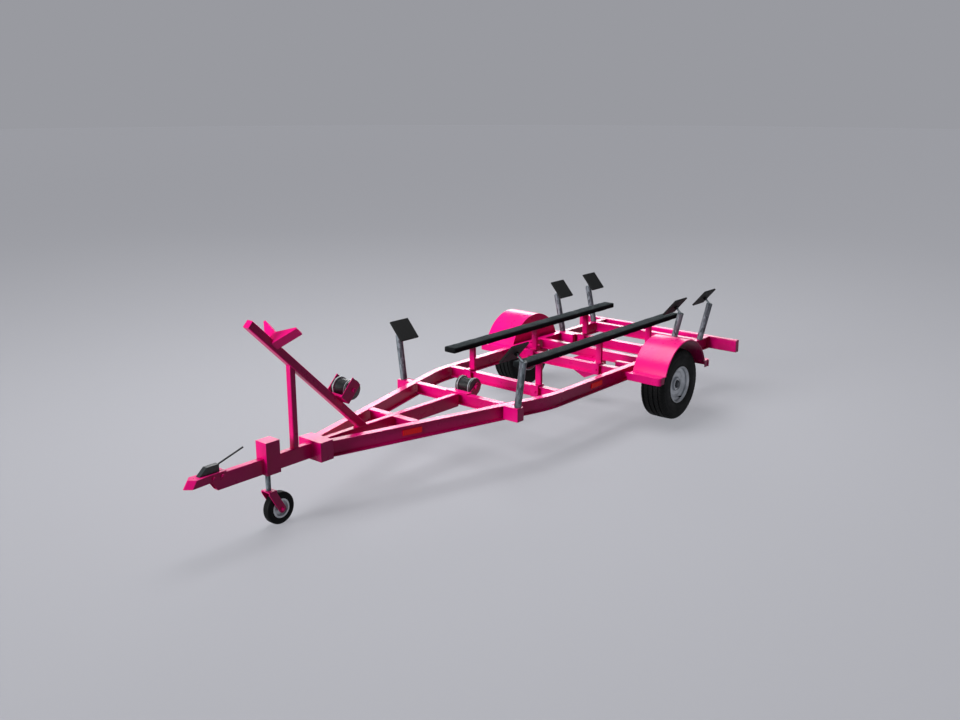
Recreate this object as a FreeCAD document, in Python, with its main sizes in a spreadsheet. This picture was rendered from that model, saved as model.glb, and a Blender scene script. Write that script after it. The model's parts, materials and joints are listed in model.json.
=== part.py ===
import FreeCAD, Part
import math
import os
from types import SimpleNamespace

import Sketcher

Vector = FreeCAD.Vector
Rotation = FreeCAD.Rotation

# Driving dimensions, in millimetres and degrees.
# A station is a distance forward from the rear face of the rear beam.
SIZES = [
    ("seat_gap", 0.3, "gap between pieces that seat on each other"),
    ("frame_above_axle", 149, "top of rails, members and drawbar above the axle"),
    ("tube_corner", 6, "outer corner radius of the box tubes"),
    ("tube_wall", 4, "wall of the box tubes"),
    ("rail_height", 96, "depth of the main rails"),
    ("rail_width", 48, "flange width of the main rails"),
    ("rail_flange", 7, "flange thickness"),
    ("rail_web", 6, "web thickness"),
    ("rail_rear_y", 492, "rail centre line, rear part"),
    ("rail_front_y", 59, "rail centre line at the collar"),
    ("bend_station", 2186, "where the straight runs of a rail would meet"),
    ("front_run", 1511, "from there to the collar's rear face"),
    ("bend_radius", 835, "radius of the bend of a rail"),
    ("member_height", 74, "depth of the cross members"),
    ("member_width", 50, "flange width of the cross members"),
    ("member_flange", 6, "flange thickness of the cross members"),
    ("member_web", 6, "web thickness of the cross members"),
    ("member_1_ahead", 942, "cross member 1 ahead of the rails' bend"),
    ("member_2_ahead", 330, "cross member 2 ahead of the rails' bend"),
    ("member_3", 2055, "station of cross member 3"),
    ("member_4", 1330, "station of cross member 4"),
    ("member_5", 969, "station of cross member 5"),
    ("member_6", 653, "station of cross member 6"),
    ("member_7", 201, "station of cross member 7"),
    ("beam_length", 1496, "rear beam, side to side"),
    ("beam_depth", 50, "rear beam, front to back"),
    ("beam_height", 97, "rear beam, top to bottom"),
    ("drawbar_width", 42, "drawbar tube"),
    ("drawbar_height", 88, "drawbar tube"),
    ("tongue_length", 697, "drawbar ahead of the collar"),
    ("drawbar_bevel", 60, "set back of its lower front end"),
    ("collar_length", 93, "collar, front to back"),
    ("collar_width", 189, "collar, side to side"),
    ("collar_height", 115, "collar, top to bottom"),
    ("collar_rise", 14, "collar top above the frame top"),
    ("collar_plate", 8, "plate of the collar"),
    ("housing_ahead", 291, "middle of the jockey housing ahead of the collar"),
    ("housing_length", 94, "jockey housing, front to back"),
    ("housing_width", 88, "jockey housing, side to side"),
    ("housing_rise", 93, "jockey housing above the frame top"),
    ("housing_drop", 94, "underside of the jockey housing below the frame top"),
    ("housing_plate", 6, "plate of the jockey housing"),
    ("leg_ahead", 12, "jockey leg ahead of the middle of its housing"),
    ("leg_diameter", 29, "jockey leg tube"),
    ("leg_wall", 4, "jockey leg tube"),
    ("leg_rise", 31, "upper end of the jockey leg above the frame top"),
    ("leg_bottom", 214, "lower end of the jockey leg"),
    ("leg_clearance", 0.5, "leg in its housing, radial"),
    ("stem_diameter", 18, "swivel pin of the fork"),
    ("stem_gap", 0.05, "radial play of a pin in its bore"),
    ("fork_crown", 6, "thickness of the fork crown and legs"),
    ("fork_gap", 1, "crown below the leg"),
    ("fork_front", 23, "fork crown ahead of the leg's middle"),
    ("fork_back", 29, "fork crown behind the leg's middle"),
    ("fork_end", 23, "radius of the fork legs' round ends"),
    ("fork_rake", 29.7, "fork legs from the vertical, an angle"),
    ("fork_round", 5, "outer radius of the fork's bends"),
    ("fork_side_gap", 5, "fork leg beside the tyre"),
    ("caster_trail", 62, "jockey wheel axle behind the leg"),
    ("caster_radius", 93.5, "jockey wheel radius"),
    ("caster_width", 50, "jockey wheel width"),
    ("caster_tread", 35, "flat tread of the jockey wheel"),
    ("caster_rim", 55.5, "radius of the jockey wheel's rim"),
    ("caster_pin", 12, "axle pin of the jockey wheel"),
    ("wheel_station", 966, "station of the axle"),
    ("wheel_radius", 260, "tyre radius"),
    ("tyre_width", 188, "tyre width"),
    ("tyre_shoulder", 22, "radius of the tyre's shoulder"),
    ("wheel_y", 683, "middle of the tyre"),
    ("rim_flange", 134, "outer radius of the rim"),
    ("rim_wall", 5, "rim thickness"),
    ("rim_well", 104, "radius of the rim's well"),
    ("rim_reach", 90, "rim's lip from the middle of the tyre"),
    ("disc_inset", 30, "wheel disc behind the rim's lip"),
    ("disc_wall", 7, "wheel disc"),
    ("hub_radius", 58, "hub flange radius"),
    ("hub_flange", 10, "hub flange thickness"),
    ("hub_barrel", 34, "hub barrel radius"),
    ("cap_radius", 27, "hub cap radius"),
    ("cap_length", 22, "hub cap beyond the disc"),
    ("spindle_radius", 16, "stub axle radius"),
    ("spindle_gap", 0.05, "radial play of the hub on its stub axle"),
    ("axle_size", 50, "square axle tube"),
    ("axle_end_gap", 8, "axle tube to hub barrel"),
    ("box_reach", 100, "axle's middle box to each side of the middle"),
    ("box_front", 94, "axle's middle box ahead of the axle"),
    ("box_rear", 50, "axle's middle box behind the axle"),
    ("box_shoulder", 236, "lower side corners of the middle box"),
    ("box_keel", 190, "lowest edge of the middle box"),
    ("seat_length", 110, "axle bracket, front to back"),
    ("seat_plate", 8, "axle bracket plate"),
    ("fender_y", 679, "middle of the fender"),
    ("fender_rise", 36, "middle of the fender's arch above the axle"),
    ("fender_radius", 300, "outer radius of the fender's arch"),
    ("fender_width", 262, "fender, side to side"),
    ("fender_sheet", 4, "fender sheet"),
    ("fender_bead", 6, "radius of the fender's rolled edge"),
    ("step_rise", 126, "top of the fender's steps above the axle"),
    ("step_height", 52, "height of the fender's steps"),
    ("step_front", 366, "outer end of a step from the axle"),
    ("step_corner", 26, "corner radius of a step"),
    ("fender_arm", 30, "fender arm, front to back"),
    ("fender_arm_height", 24, "fender arm, top to bottom"),
    ("post_foot_back", 303, "foot of the bow post behind the collar"),
    ("post_angle", 44.23, "bow post above the horizontal"),
    ("post_length", 1076, "bow post along its middle"),
    ("post_size", 47.5, "bow post tube"),
    ("strut_ahead", 110, "upright strut ahead of the collar"),
    ("strut_size", 38, "upright strut tube"),
    ("stop_place", 872, "middle of the bow stop along the post"),
    ("stop_width", 55, "bow stop along the post"),
    ("stop_low", 6, "lower edge of the bow stop below the post's middle"),
    ("stop_reach", 137, "wing tip from the middle"),
    ("stop_tip", 114, "wing tip above the post's middle"),
    ("stop_edge", 9, "blunt edge of a wing tip"),
    ("stop_vee", 70, "bottom of the V above the post's middle"),
    ("roller_length", 124, "roller"),
    ("roller_radius", 60, "roller flange radius"),
    ("roller_core", 51, "roller barrel radius"),
    ("roller_pin", 8, "roller pin radius"),
    ("roller_side_gap", 2, "roller end to cheek"),
    ("cheek_plate", 5, "roller cheek"),
    ("cheek_length", 78, "bow roller's cheeks along the post"),
    ("cheek_rise", 134, "bow roller's cheeks above the post's face"),
    ("bracket_base", 14, "base block of the bow roller's bracket"),
    ("bow_bracket_place", 273, "middle of the bow roller's bracket along the post"),
    ("bow_roller_place", 257, "bow roller along the post"),
    ("bow_roller_rise", 81, "bow roller axis above the post's face"),
    ("keel_roller_back", 69, "keel roller axis behind cross member 2"),
    ("keel_roller_rise", 26, "keel roller axis above the frame top"),
    ("keel_plate", 8, "plate on cross member 2"),
    ("keel_plate_rear", 28, "that plate behind the member's middle"),
    ("keel_plate_front", 24, "that plate ahead of the member's middle"),
    ("keel_plate_reach", 90, "that plate to each side of the middle"),
    ("prop_y_front", 496, "foot of a front side prop"),
    ("prop_y_rear", 504, "foot of a middle or rear side prop"),
    ("prop_front_ahead", 5, "front props ahead of cross member 2"),
    ("prop_set_back", 7, "other props behind cross members 6 and 7"),
    ("prop_angle_front", 7.7, "front props lean outward"),
    ("prop_angle_rear", 13, "middle and rear props lean outward"),
    ("prop_length", 305, "side prop tube"),
    ("prop_diameter", 46, "side prop tube"),
    ("socket_length", 64, "prop socket, front to back"),
    ("socket_ahead", 5, "prop socket ahead of its prop"),
    ("socket_margin", 5, "prop socket beyond its prop"),
    ("stub_length", 38, "stub on a rail's inner side, front to back"),
    ("stub_reach", 137, "stub from the rail's middle inward"),
    ("stub_station", 1167, "middle of the free stubs"),
    ("socket_height", 88, "prop socket, top to bottom"),
    ("pad_length", 166, "side pad, front to back"),
    ("pad_height", 155, "side pad, up its slope"),
    ("pad_thickness", 12, "side pad"),
    ("pad_angle", 41, "side pad from the upright"),
    ("pivot_up_front", 37, "front pad pivot above the prop's end"),
    ("pivot_up_rear", 34, "other pad pivots above the prop's end"),
    ("pivot_in_front", 49, "front pad pivot inboard of the prop's end"),
    ("pivot_in_rear", 36, "other pad pivots inboard of the prop's end"),
    ("pad_ear", 14, "pad behind its pivot"),
    ("pad_ear_plate", 5, "ear of a side pad"),
    ("pad_pin", 4, "radius of a side pad's pin"),
    ("link_width", 16, "link of a side pad"),
    ("pad_forward", 12, "front pad ahead of its prop"),
    ("bunk_y", 302, "middle of a bunk"),
    ("bunk_width", 100, "bunk"),
    ("bunk_thickness", 40, "bunk"),
    ("bunk_rise", 206, "top of the bunks above the frame top"),
    ("bunk_rear", 276, "station of the bunks' rear end"),
    ("bunk_length", 1990, "bunk"),
    ("bunk_post_y", 293, "middle of a bunk post"),
    ("bunk_post_width", 44, "bunk post, side to side"),
    ("bunk_post_depth", 20, "bunk post, front to back"),
    ("clamp_plate", 8, "saddle of a bunk post"),
    ("clamp_width", 60, "saddle of a bunk post"),
    ("clamp_shift", 4, "saddle outboard of its post's middle"),
    ("reflector_length", 130, "reflector"),
    ("reflector_height", 33, "reflector"),
    ("reflector_depth", 6, "reflector"),
    ("reflector_ahead", 990, "front reflectors ahead of the rails' bend"),
    ("reflector_rear", 1639, "station of the rear reflectors"),
    ("coupling_overhang", 135, "coupling nose ahead of the drawbar"),
    ("head_width", 74, "coupling head"),
    ("head_rear_width", 60, "coupling shank"),
    ("head_rise", 13, "top of the coupling above the frame top"),
    ("head_drop", 30, "underside of the coupling below the frame top"),
    ("head_lap", 110, "shank over the drawbar"),
    ("head_chamfer", 31, "set back of the nose's side corners"),
    ("head_slope", 29, "set back of the nose at its top"),
    ("ball_diameter", 50.6, "ball socket"),
    ("ball_back", 50, "ball's middle behind the nose"),
    ("latch_width", 30, "coupling latch"),
    ("latch_back", 89, "latch behind the nose"),
    ("latch_length", 123, "coupling latch"),
    ("latch_height", 41, "coupling latch above the shank"),
    ("latch_slope", 47, "set back of the latch's front at its top"),
    ("lever_diameter", 10, "coupling lever"),
    ("lever_length", 174, "coupling lever"),
    ("lever_angle", 16.7, "coupling lever above the horizontal"),
]


class Size:
    """A length or angle, with the sheet formula that gives it."""

    def __init__(self, value, formula):
        self.value = float(value)
        self.formula = formula

    def __add__(self, other):
        other = sized(other)
        return Size(self.value + other.value, "(%s + %s)" % (self.formula, other.formula))

    def __sub__(self, other):
        other = sized(other)
        return Size(self.value - other.value, "(%s - %s)" % (self.formula, other.formula))

    def __mul__(self, other):
        other = sized(other)
        return Size(self.value * other.value, "(%s * %s)" % (self.formula, other.formula))

    def __truediv__(self, other):
        other = sized(other)
        return Size(self.value / other.value, "(%s / %s)" % (self.formula, other.formula))

    def __neg__(self):
        return Size(-self.value, "(%s * -1)" % self.formula)

    __radd__ = __add__
    __rmul__ = __mul__

    def __rsub__(self, other):
        return sized(other) - self


def sized(number):
    """A plain number as a Size."""
    if isinstance(number, Size):
        return number
    return Size(number, repr(float(number)))


def sine(angle):
    return Size(math.sin(math.radians(angle.value)), "sin(%s)" % angle.formula)


def cosine(angle):
    return Size(math.cos(math.radians(angle.value)), "cos(%s)" % angle.formula)


def tangent(angle):
    return Size(math.tan(math.radians(angle.value)), "tan(%s)" % angle.formula)


def arc_tangent(rise, run):
    ratio = rise / run
    return Size(math.degrees(math.atan(ratio.value)), "atan(%s)" % ratio.formula)


doc = FreeCAD.newDocument("boat_trailer")
sheet = doc.addObject("Spreadsheet::Sheet", "Sizes")
s = SimpleNamespace()
for row, (name, value, note) in enumerate(SIZES, 1):
    sheet.set("A%d" % row, name)
    sheet.set("B%d" % row, "%g" % value)
    sheet.set("C%d" % row, note)
    sheet.setAlias("B%d" % row, name)
    setattr(s, name, Size(value, "Sizes." + name))
doc.recompute()

# Heights and stations that follow from the sizes: each group keeps its place by another.
s.frame_top = s.wheel_radius + s.frame_above_axle
s.step_top = s.wheel_radius + s.step_rise
s.housing_top = s.frame_top + s.housing_rise
s.housing_bottom = s.frame_top - s.housing_drop
s.leg_top = s.frame_top + s.leg_rise
s.bunk_top = s.frame_top + s.bunk_rise
s.head_top = s.frame_top + s.head_rise
s.head_bottom = s.frame_top - s.head_drop
s.collar_rear = s.bend_station + s.front_run
s.collar_front = s.collar_rear + s.collar_length
s.drawbar_front = s.collar_front + s.tongue_length
s.overall_length = s.drawbar_front + s.coupling_overhang
s.member_1 = s.bend_station + s.member_1_ahead
s.member_2 = s.bend_station + s.member_2_ahead
s.housing_station = s.collar_front + s.housing_ahead
s.leg_station = s.housing_station + s.leg_ahead
s.post_foot = s.collar_rear - s.post_foot_back
s.strut_station = s.collar_front + s.strut_ahead
s.prop_front = s.member_2 + s.prop_front_ahead
s.prop_middle = s.member_6 - s.prop_set_back
s.prop_rear = s.member_7 - s.prop_set_back
s.reflector_front = s.bend_station + s.reflector_ahead

nodes = []


def node(item, label):
    """Marks a finished sub-part."""
    item.Label = label
    nodes.append(item)
    return item


def at(station):
    """X of a station."""
    return station - s.overall_length / 2


def bind(item, path, size):
    item.setExpression(path, sized(size).formula)


def place(item, x=0, y=0, z=0, axis=None, angle=None):
    """Puts an object at a bound place, turned about an axis by a bound angle."""
    x, y, z = sized(x), sized(y), sized(z)
    turn = Rotation()
    if axis is not None:
        angle = sized(angle)
        if angle.value < 0:
            axis = [-part for part in axis]
            angle = -angle
        turn = Rotation(Vector(*axis), angle.value)
    item.Placement = FreeCAD.Placement(Vector(x.value, y.value, z.value), turn)
    bind(item, "Placement.Base.x", x)
    bind(item, "Placement.Base.y", y)
    bind(item, "Placement.Base.z", z)
    if axis is not None:
        bind(item, "Placement.Rotation.Angle", angle)
    return item


def box(name, x, y, z):
    """A box between pairs of bound coordinates."""
    item = doc.addObject("Part::Box", name)
    for prop, pair in (("Length", x), ("Width", y), ("Height", z)):
        size = sized(pair[1]) - pair[0]
        setattr(item, prop, size.value)
        bind(item, prop, size)
    return place(item, x[0], y[0], z[0])


def cylinder(name, radius, length, x=0, y=0, z=0, axis=None, angle=None):
    """A cylinder up its own Z axis from a bound place."""
    item = doc.addObject("Part::Cylinder", name)
    item.Radius = sized(radius).value
    item.Height = sized(length).value
    bind(item, "Radius", radius)
    bind(item, "Height", length)
    return place(item, x, y, z, axis, angle)


def cross_cylinder(name, radius, y, x, z):
    """A cylinder along Y between two bound coordinates."""
    length = sized(y[1]) - y[0]
    return cylinder(name, radius, length, x, y[1], z, (1, 0, 0), 90)


def cut(name, base, tool):
    item = doc.addObject("Part::Cut", name)
    item.Base = base
    item.Tool = tool
    return item


def fuse(name, shapes):
    item = doc.addObject("Part::MultiFuse", name)
    item.Shapes = shapes
    return item


def common(name, shapes):
    item = doc.addObject("Part::MultiCommon", name)
    item.Shapes = shapes
    return item


def compound(name, shapes):
    item = doc.addObject("Part::Compound", name)
    item.Links = shapes
    return item


def new_body(name):
    return doc.addObject("PartDesign::Body", name)


def origin_plane(body, role):
    for plane in body.Origin.OriginFeatures:
        if plane.Role == role:
            return plane


def new_sketch(body, name, role, offset=0):
    """A sketch on one of the body's origin planes, moved along its normal."""
    sketch = body.newObject("Sketcher::SketchObject", name)
    sketch.AttachmentSupport = [(origin_plane(body, role), "")]
    sketch.MapMode = "FlatFace"
    if isinstance(offset, Size):
        sketch.AttachmentOffset = FreeCAD.Placement(Vector(0, 0, offset.value), Rotation())
        bind(sketch, "AttachmentOffset.Base.z", offset)
    return sketch


def pin_point(sketch, edge, end, point):
    """Holds one end of an edge at a bound point."""
    for kind, size in (("DistanceX", point[0]), ("DistanceY", point[1])):
        size = sized(size)
        index = sketch.addConstraint(Sketcher.Constraint(kind, -1, 1, edge, end, size.value))
        bind(sketch, "Constraints[%d]" % index, size)


def outline(sketch, points):
    """A closed outline of straight edges through bound points."""
    first = sketch.GeometryCount
    count = len(points)
    spots = [Vector(sized(x).value, sized(y).value, 0) for x, y in points]
    for i in range(count):
        sketch.addGeometry(Part.LineSegment(spots[i], spots[(i + 1) % count]), False)
    for i in range(count):
        follower = first + (i + 1) % count
        sketch.addConstraint(Sketcher.Constraint("Coincident", first + i, 2, follower, 1))
    for i, point in enumerate(points):
        pin_point(sketch, first + i, 1, point)


def rectangle(sketch, x, y):
    outline(sketch, [(x[0], y[0]), (x[1], y[0]), (x[1], y[1]), (x[0], y[1])])


def pad(body, sketch, length, midplane=False, backward=False):
    item = body.newObject("PartDesign::Pad", sketch.Name + "_pad")
    item.Profile = sketch
    item.Length = sized(length).value
    bind(item, "Length", length)
    item.Midplane = midplane
    item.Reversed = backward
    sketch.Visibility = False
    return item


def pocket_through(body, sketch):
    item = body.newObject("PartDesign::Pocket", sketch.Name + "_pocket")
    item.Profile = sketch
    item.Type = 1
    item.Midplane = True
    return item


def revolve(body, sketch, axis="H_Axis"):
    item = body.newObject("PartDesign::Revolution", sketch.Name + "_turn")
    item.Profile = sketch
    item.ReferenceAxis = (sketch, [axis])
    item.Angle = 360
    return item


def round_edges(body, wanted, radius):
    """Rounds the edges of the body's tip that a test picks out."""
    doc.recompute()
    tip = body.Tip
    names = ["Edge%d" % (i + 1) for i, edge in enumerate(tip.Shape.Edges) if wanted(edge)]
    item = body.newObject("PartDesign::Fillet", body.Name + "_round_%d" % len(body.Group))
    item.Base = (tip, names)
    item.Radius = sized(radius).value
    bind(item, "Radius", radius)
    return item


def runs_along(direction):
    """A test for straight edges parallel to a direction."""
    def test(edge):
        if edge.Curve.TypeId != "Part::GeomLine":
            return False
        return abs(edge.tangentAt(edge.FirstParameter).dot(Vector(*direction))) > 0.999
    return test


def box_tube(name, width, height, length, role="YZ_Plane", wall=None):
    """A box tube padded from its own origin plane, round cornered and open ended."""
    body = new_body(name)
    outer = new_sketch(body, name + "_outer", role)
    rectangle(outer, (-width / 2, width / 2), (-height / 2, height / 2))
    pad(body, outer, length)
    long_axis = {"YZ_Plane": (1, 0, 0), "XY_Plane": (0, 0, 1), "XZ_Plane": (0, 1, 0)}[role]
    round_edges(body, runs_along(long_axis), s.tube_corner)
    wall = wall or s.tube_wall
    inner = new_sketch(body, name + "_inner", role)
    half_w, half_h = width / 2 - wall, height / 2 - wall
    rectangle(inner, (-half_w, half_w), (-half_h, half_h))
    pocket_through(body, inner)
    return body


def i_outline(sketch, middle, top, width, height, flange, web):
    """An I section, hung from its top edge."""
    low = top - height
    inner_top, inner_low = top - flange, low + flange
    half, half_web = width / 2, web / 2
    outline(sketch, [
        (middle - half, low), (middle + half, low), (middle + half, inner_low),
        (middle + half_web, inner_low), (middle + half_web, inner_top), (middle + half, inner_top),
        (middle + half, top), (middle - half, top), (middle - half, inner_top),
        (middle - half_web, inner_top), (middle - half_web, inner_low), (middle - half, inner_low)])


# Main rails: I beams swept along a straight V, a bend and a straight rear part.
def rail_path(sketch, side):
    run = s.collar_rear - s.bend_station
    slant = arc_tangent(s.rail_rear_y - s.rail_front_y, run)
    reach = s.bend_radius * tangent(slant / 2)
    rear = at(s.beam_depth + s.seat_gap)
    nose = at(s.collar_rear + s.rail_width)
    bend = at(s.bend_station)
    lead = s.rail_width + run
    front_y = s.rail_rear_y - lead * tangent(slant)
    start = (rear, side * s.rail_rear_y)
    meet = (bend - reach, side * s.rail_rear_y)
    leave = (bend + reach * cosine(slant), side * (s.rail_rear_y - reach * sine(slant)))
    end = (nose, side * front_y)
    spots = [Vector(sized(x).value, sized(y).value, 0) for x, y in (start, meet, leave, end)]
    centre = Vector(spots[1].x, spots[1].y - side * s.bend_radius.value, 0)
    middle_angle = math.radians(90 - slant.value / 2)
    middle = centre + Vector(math.cos(middle_angle), side * math.sin(middle_angle), 0) * s.bend_radius.value
    sketch.addGeometry(Part.LineSegment(spots[0], spots[1]), False)
    arc = Part.Arc(spots[1], middle, spots[2])
    sketch.addGeometry(arc, False)
    sketch.addGeometry(Part.LineSegment(spots[2], spots[3]), False)
    arc_start, arc_end = (2, 1) if side > 0 else (1, 2)
    sketch.addConstraint(Sketcher.Constraint("Coincident", 0, 2, 1, arc_start))
    sketch.addConstraint(Sketcher.Constraint("Coincident", 1, arc_end, 2, 1))
    pin_point(sketch, 0, 1, start)
    pin_point(sketch, 0, 2, meet)
    pin_point(sketch, 2, 1, leave)
    pin_point(sketch, 2, 2, end)
    index = sketch.addConstraint(Sketcher.Constraint("Radius", 1, s.bend_radius.value))
    bind(sketch, "Constraints[%d]" % index, s.bend_radius)


def rail_sweep(name, side, draw):
    """Sweeps a section, drawn by a function, along a rail's line."""
    body = new_body(name)
    path = new_sketch(body, name + "_path", "XY_Plane")
    rail_path(path, side)
    section = new_sketch(body, name + "_section", "YZ_Plane", at(s.beam_depth + s.seat_gap))
    draw(section, side * s.rail_rear_y)
    sweep = body.newObject("PartDesign::AdditivePipe", name + "_sweep")
    sweep.Profile = section
    sweep.Spine = (path, [])
    trim = new_sketch(body, name + "_trim", "XY_Plane")
    far = at(s.collar_rear + s.rail_width * 3)
    rectangle(trim, (at(s.collar_rear - s.seat_gap), far), (-s.collar_width, s.collar_width))
    pocket_through(body, trim)
    return body


def draw_rail(sketch, middle):
    i_outline(sketch, middle, s.frame_top, s.rail_width, s.rail_height, s.rail_flange, s.rail_web)


def draw_rail_room(sketch, middle):
    half = s.rail_width / 2 + s.seat_gap
    rectangle(sketch, (middle - half, middle + half),
              (s.frame_top - s.rail_height * 2, s.frame_top + s.rail_height))


for side, label in ((1, "left"), (-1, "right")):
    node(rail_sweep("rail_" + label, side, draw_rail), "rail_" + label)
rail_rooms = [rail_sweep("rail_room_" + label, side, draw_rail_room)
              for side, label in ((1, "left"), (-1, "right"))]


# Cross members: I beams cut to the inner sides of the rails.
def member_body(name, station, half_length):
    body = new_body(name)
    section = new_sketch(body, name + "_section", "XZ_Plane")
    i_outline(section, at(station), s.frame_top, s.member_width, s.member_height,
              s.member_flange, s.member_web)
    pad(body, section, half_length * 2, midplane=True)
    return body


drawbar_room = box("drawbar_room",
                   (at(s.member_2), at(s.drawbar_front)),
                   (-s.drawbar_width / 2 - s.seat_gap, s.drawbar_width / 2 + s.seat_gap),
                   (s.frame_top - s.drawbar_height - s.seat_gap, s.frame_top + s.seat_gap))
slope = (s.rail_rear_y - s.rail_front_y) / (s.collar_rear - s.bend_station)
members = [s.member_1, s.member_2, s.member_3, s.member_4, s.member_5, s.member_6, s.member_7]
for number, station in enumerate(members, 1):
    name = "crossmember_%d" % number
    half_length = s.rail_rear_y
    if number < 3:
        half_length = s.rail_rear_y - (station - s.bend_station) * slope
    blank = member_body(name + "_blank", station, half_length)
    cuts = [rail_rooms[0], rail_rooms[1]]
    if number == 1:
        cuts.append(drawbar_room)
    node(cut(name, blank, fuse(name + "_rooms", cuts)), name)

# Rear beam: a box tube across both rails.
rear_beam = box_tube("rear_beam", s.beam_depth, s.beam_height, s.beam_length, "XZ_Plane")
place(rear_beam, at(s.beam_depth / 2), s.beam_length / 2, s.frame_top - s.beam_height / 2)
node(rear_beam, "rear_beam")

# Drawbar: one box tube from the second cross member to the coupling, bevelled below.
drawbar_mid = s.frame_top - s.drawbar_height / 2
drawbar_rear = s.member_2 + s.member_width / 2 + s.seat_gap
drawbar_tube = box_tube("drawbar_tube", s.drawbar_width, s.drawbar_height,
                        s.drawbar_front - drawbar_rear)
place(drawbar_tube, at(drawbar_rear), 0, drawbar_mid)
bevel_body = new_body("drawbar_bevel_tool")
bevel_sketch = new_sketch(bevel_body, "bevel_outline", "XZ_Plane")
outline(bevel_sketch, [
    (at(s.drawbar_front), s.frame_top),
    (at(s.drawbar_front - s.drawbar_bevel), s.frame_top - s.drawbar_height),
    (at(s.drawbar_front), s.frame_top - s.drawbar_height)])
pad(bevel_body, bevel_sketch, s.drawbar_width * 2, midplane=True)
leg_hole = cylinder("drawbar_leg_hole", s.leg_diameter / 2 + s.leg_clearance, s.drawbar_height * 2,
                    at(s.leg_station), 0, s.frame_top - s.drawbar_height * 1.5)
node(cut("drawbar", drawbar_tube, fuse("drawbar_cuts", [bevel_body, leg_hole])), "drawbar")

# Collar: a hollow plate box that the drawbar runs through and the rails butt against.
collar_top = s.frame_top + s.collar_rise
collar_outer = box("collar_outer",
                   (at(s.collar_rear), at(s.collar_rear + s.collar_length)),
                   (-s.collar_width / 2, s.collar_width / 2),
                   (collar_top - s.collar_height, collar_top))
collar_inner = box("collar_inner",
                   (at(s.collar_rear + s.collar_plate),
                    at(s.collar_rear + s.collar_length - s.collar_plate)),
                   (-s.collar_width / 2 + s.collar_plate, s.collar_width / 2 - s.collar_plate),
                   (collar_top - s.collar_height + s.collar_plate, collar_top - s.collar_plate))
collar_room = box("collar_drawbar_room",
                  (at(s.collar_rear - s.collar_plate), at(s.collar_rear + s.collar_length * 2)),
                  (-s.drawbar_width / 2 - s.seat_gap, s.drawbar_width / 2 + s.seat_gap),
                  (s.frame_top - s.drawbar_height - s.seat_gap, s.frame_top + s.seat_gap))
node(cut("drawbar_collar", collar_outer, fuse("collar_cuts", [collar_inner, collar_room])),
     "drawbar_collar")

# Jockey housing: a plate box round the drawbar, bored below for the leg.
housing_x = at(s.housing_station)
leg_x = at(s.leg_station)
housing_outer = box("housing_outer",
                    (housing_x - s.housing_length / 2, housing_x + s.housing_length / 2),
                    (-s.housing_width / 2, s.housing_width / 2),
                    (s.housing_bottom, s.housing_top))
housing_inner = box("housing_inner",
                    (housing_x - s.housing_length / 2 + s.housing_plate,
                     housing_x + s.housing_length / 2 - s.housing_plate),
                    (-s.housing_width / 2 + s.housing_plate, s.housing_width / 2 - s.housing_plate),
                    (s.housing_bottom + s.housing_plate, s.housing_top - s.housing_plate))
housing_room = box("housing_drawbar_room",
                   (housing_x - s.housing_length, housing_x + s.housing_length),
                   (-s.drawbar_width / 2 - s.seat_gap, s.drawbar_width / 2 + s.seat_gap),
                   (s.frame_top - s.drawbar_height - s.seat_gap, s.frame_top + s.seat_gap))
housing_bore = cylinder("housing_bore", s.leg_diameter / 2 + s.leg_clearance,
                        s.housing_plate * 3, leg_x, 0, s.housing_bottom - s.housing_plate)
node(cut("jockey_housing", housing_outer,
         fuse("housing_cuts", [housing_inner, housing_room, housing_bore])), "jockey_housing")

# Jockey leg: a tube that slides up and down, with the fork's swivel pin at its foot.
leg_tube = cylinder("leg_tube", s.leg_diameter / 2, s.leg_top - s.leg_bottom,
                    leg_x, 0, s.leg_bottom)
leg_hollow = cylinder("leg_hollow", s.leg_diameter / 2 - s.leg_wall,
                      s.leg_top - s.leg_bottom, leg_x, 0, s.leg_bottom + s.leg_wall)
crown_top = s.leg_bottom - s.fork_gap
pin_drop = s.fork_gap + s.fork_crown + s.fork_gap
leg_stem = cylinder("leg_stem", s.stem_diameter / 2, pin_drop + s.leg_wall / 2,
                    leg_x, 0, s.leg_bottom - pin_drop)
leg_shell = cut("leg_shell", leg_tube, leg_hollow)
stem_head = cylinder("leg_stem_head", s.stem_diameter / 2 + s.stem_diameter / 6, s.fork_crown / 2,
                     leg_x, 0, s.leg_bottom - pin_drop - s.fork_crown / 2)
node(fuse("jockey_leg", [leg_shell, leg_stem, stem_head]), "jockey_leg")

# Jockey fork: a strap bent to a raked U, bored for the swivel pin and for the wheel's pin.
inner_half = s.caster_width / 2 + s.fork_side_gap
fork_half = inner_half + s.fork_crown
caster_x = leg_x - s.caster_trail
edge_x, edge_z = s.fork_end * cosine(s.fork_rake), s.fork_end * sine(s.fork_rake)
front_drop = (s.caster_trail + s.fork_front - edge_x) / tangent(s.fork_rake)
rear_drop = (s.caster_trail - s.fork_back + edge_x) / tangent(s.fork_rake)
fork_body = new_body("jockey_fork_strap")
fork_side = new_sketch(fork_body, "fork_side", "XZ_Plane")
outline(fork_side, [
    (leg_x + s.fork_front, s.caster_radius - edge_z + front_drop),
    (leg_x + s.fork_front, crown_top), (leg_x - s.fork_back, crown_top),
    (leg_x - s.fork_back, s.caster_radius + edge_z + rear_drop),
    (caster_x - edge_x, s.caster_radius + edge_z), (caster_x + edge_x, s.caster_radius - edge_z)])
pad(fork_body, fork_side, fork_half * 2, midplane=True)
fork_room = new_sketch(fork_body, "fork_room", "YZ_Plane")
rectangle(fork_room, (-inner_half, inner_half),
          (s.caster_radius - s.fork_end * 2, crown_top - s.fork_crown))
pocket_through(fork_body, fork_room)


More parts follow.
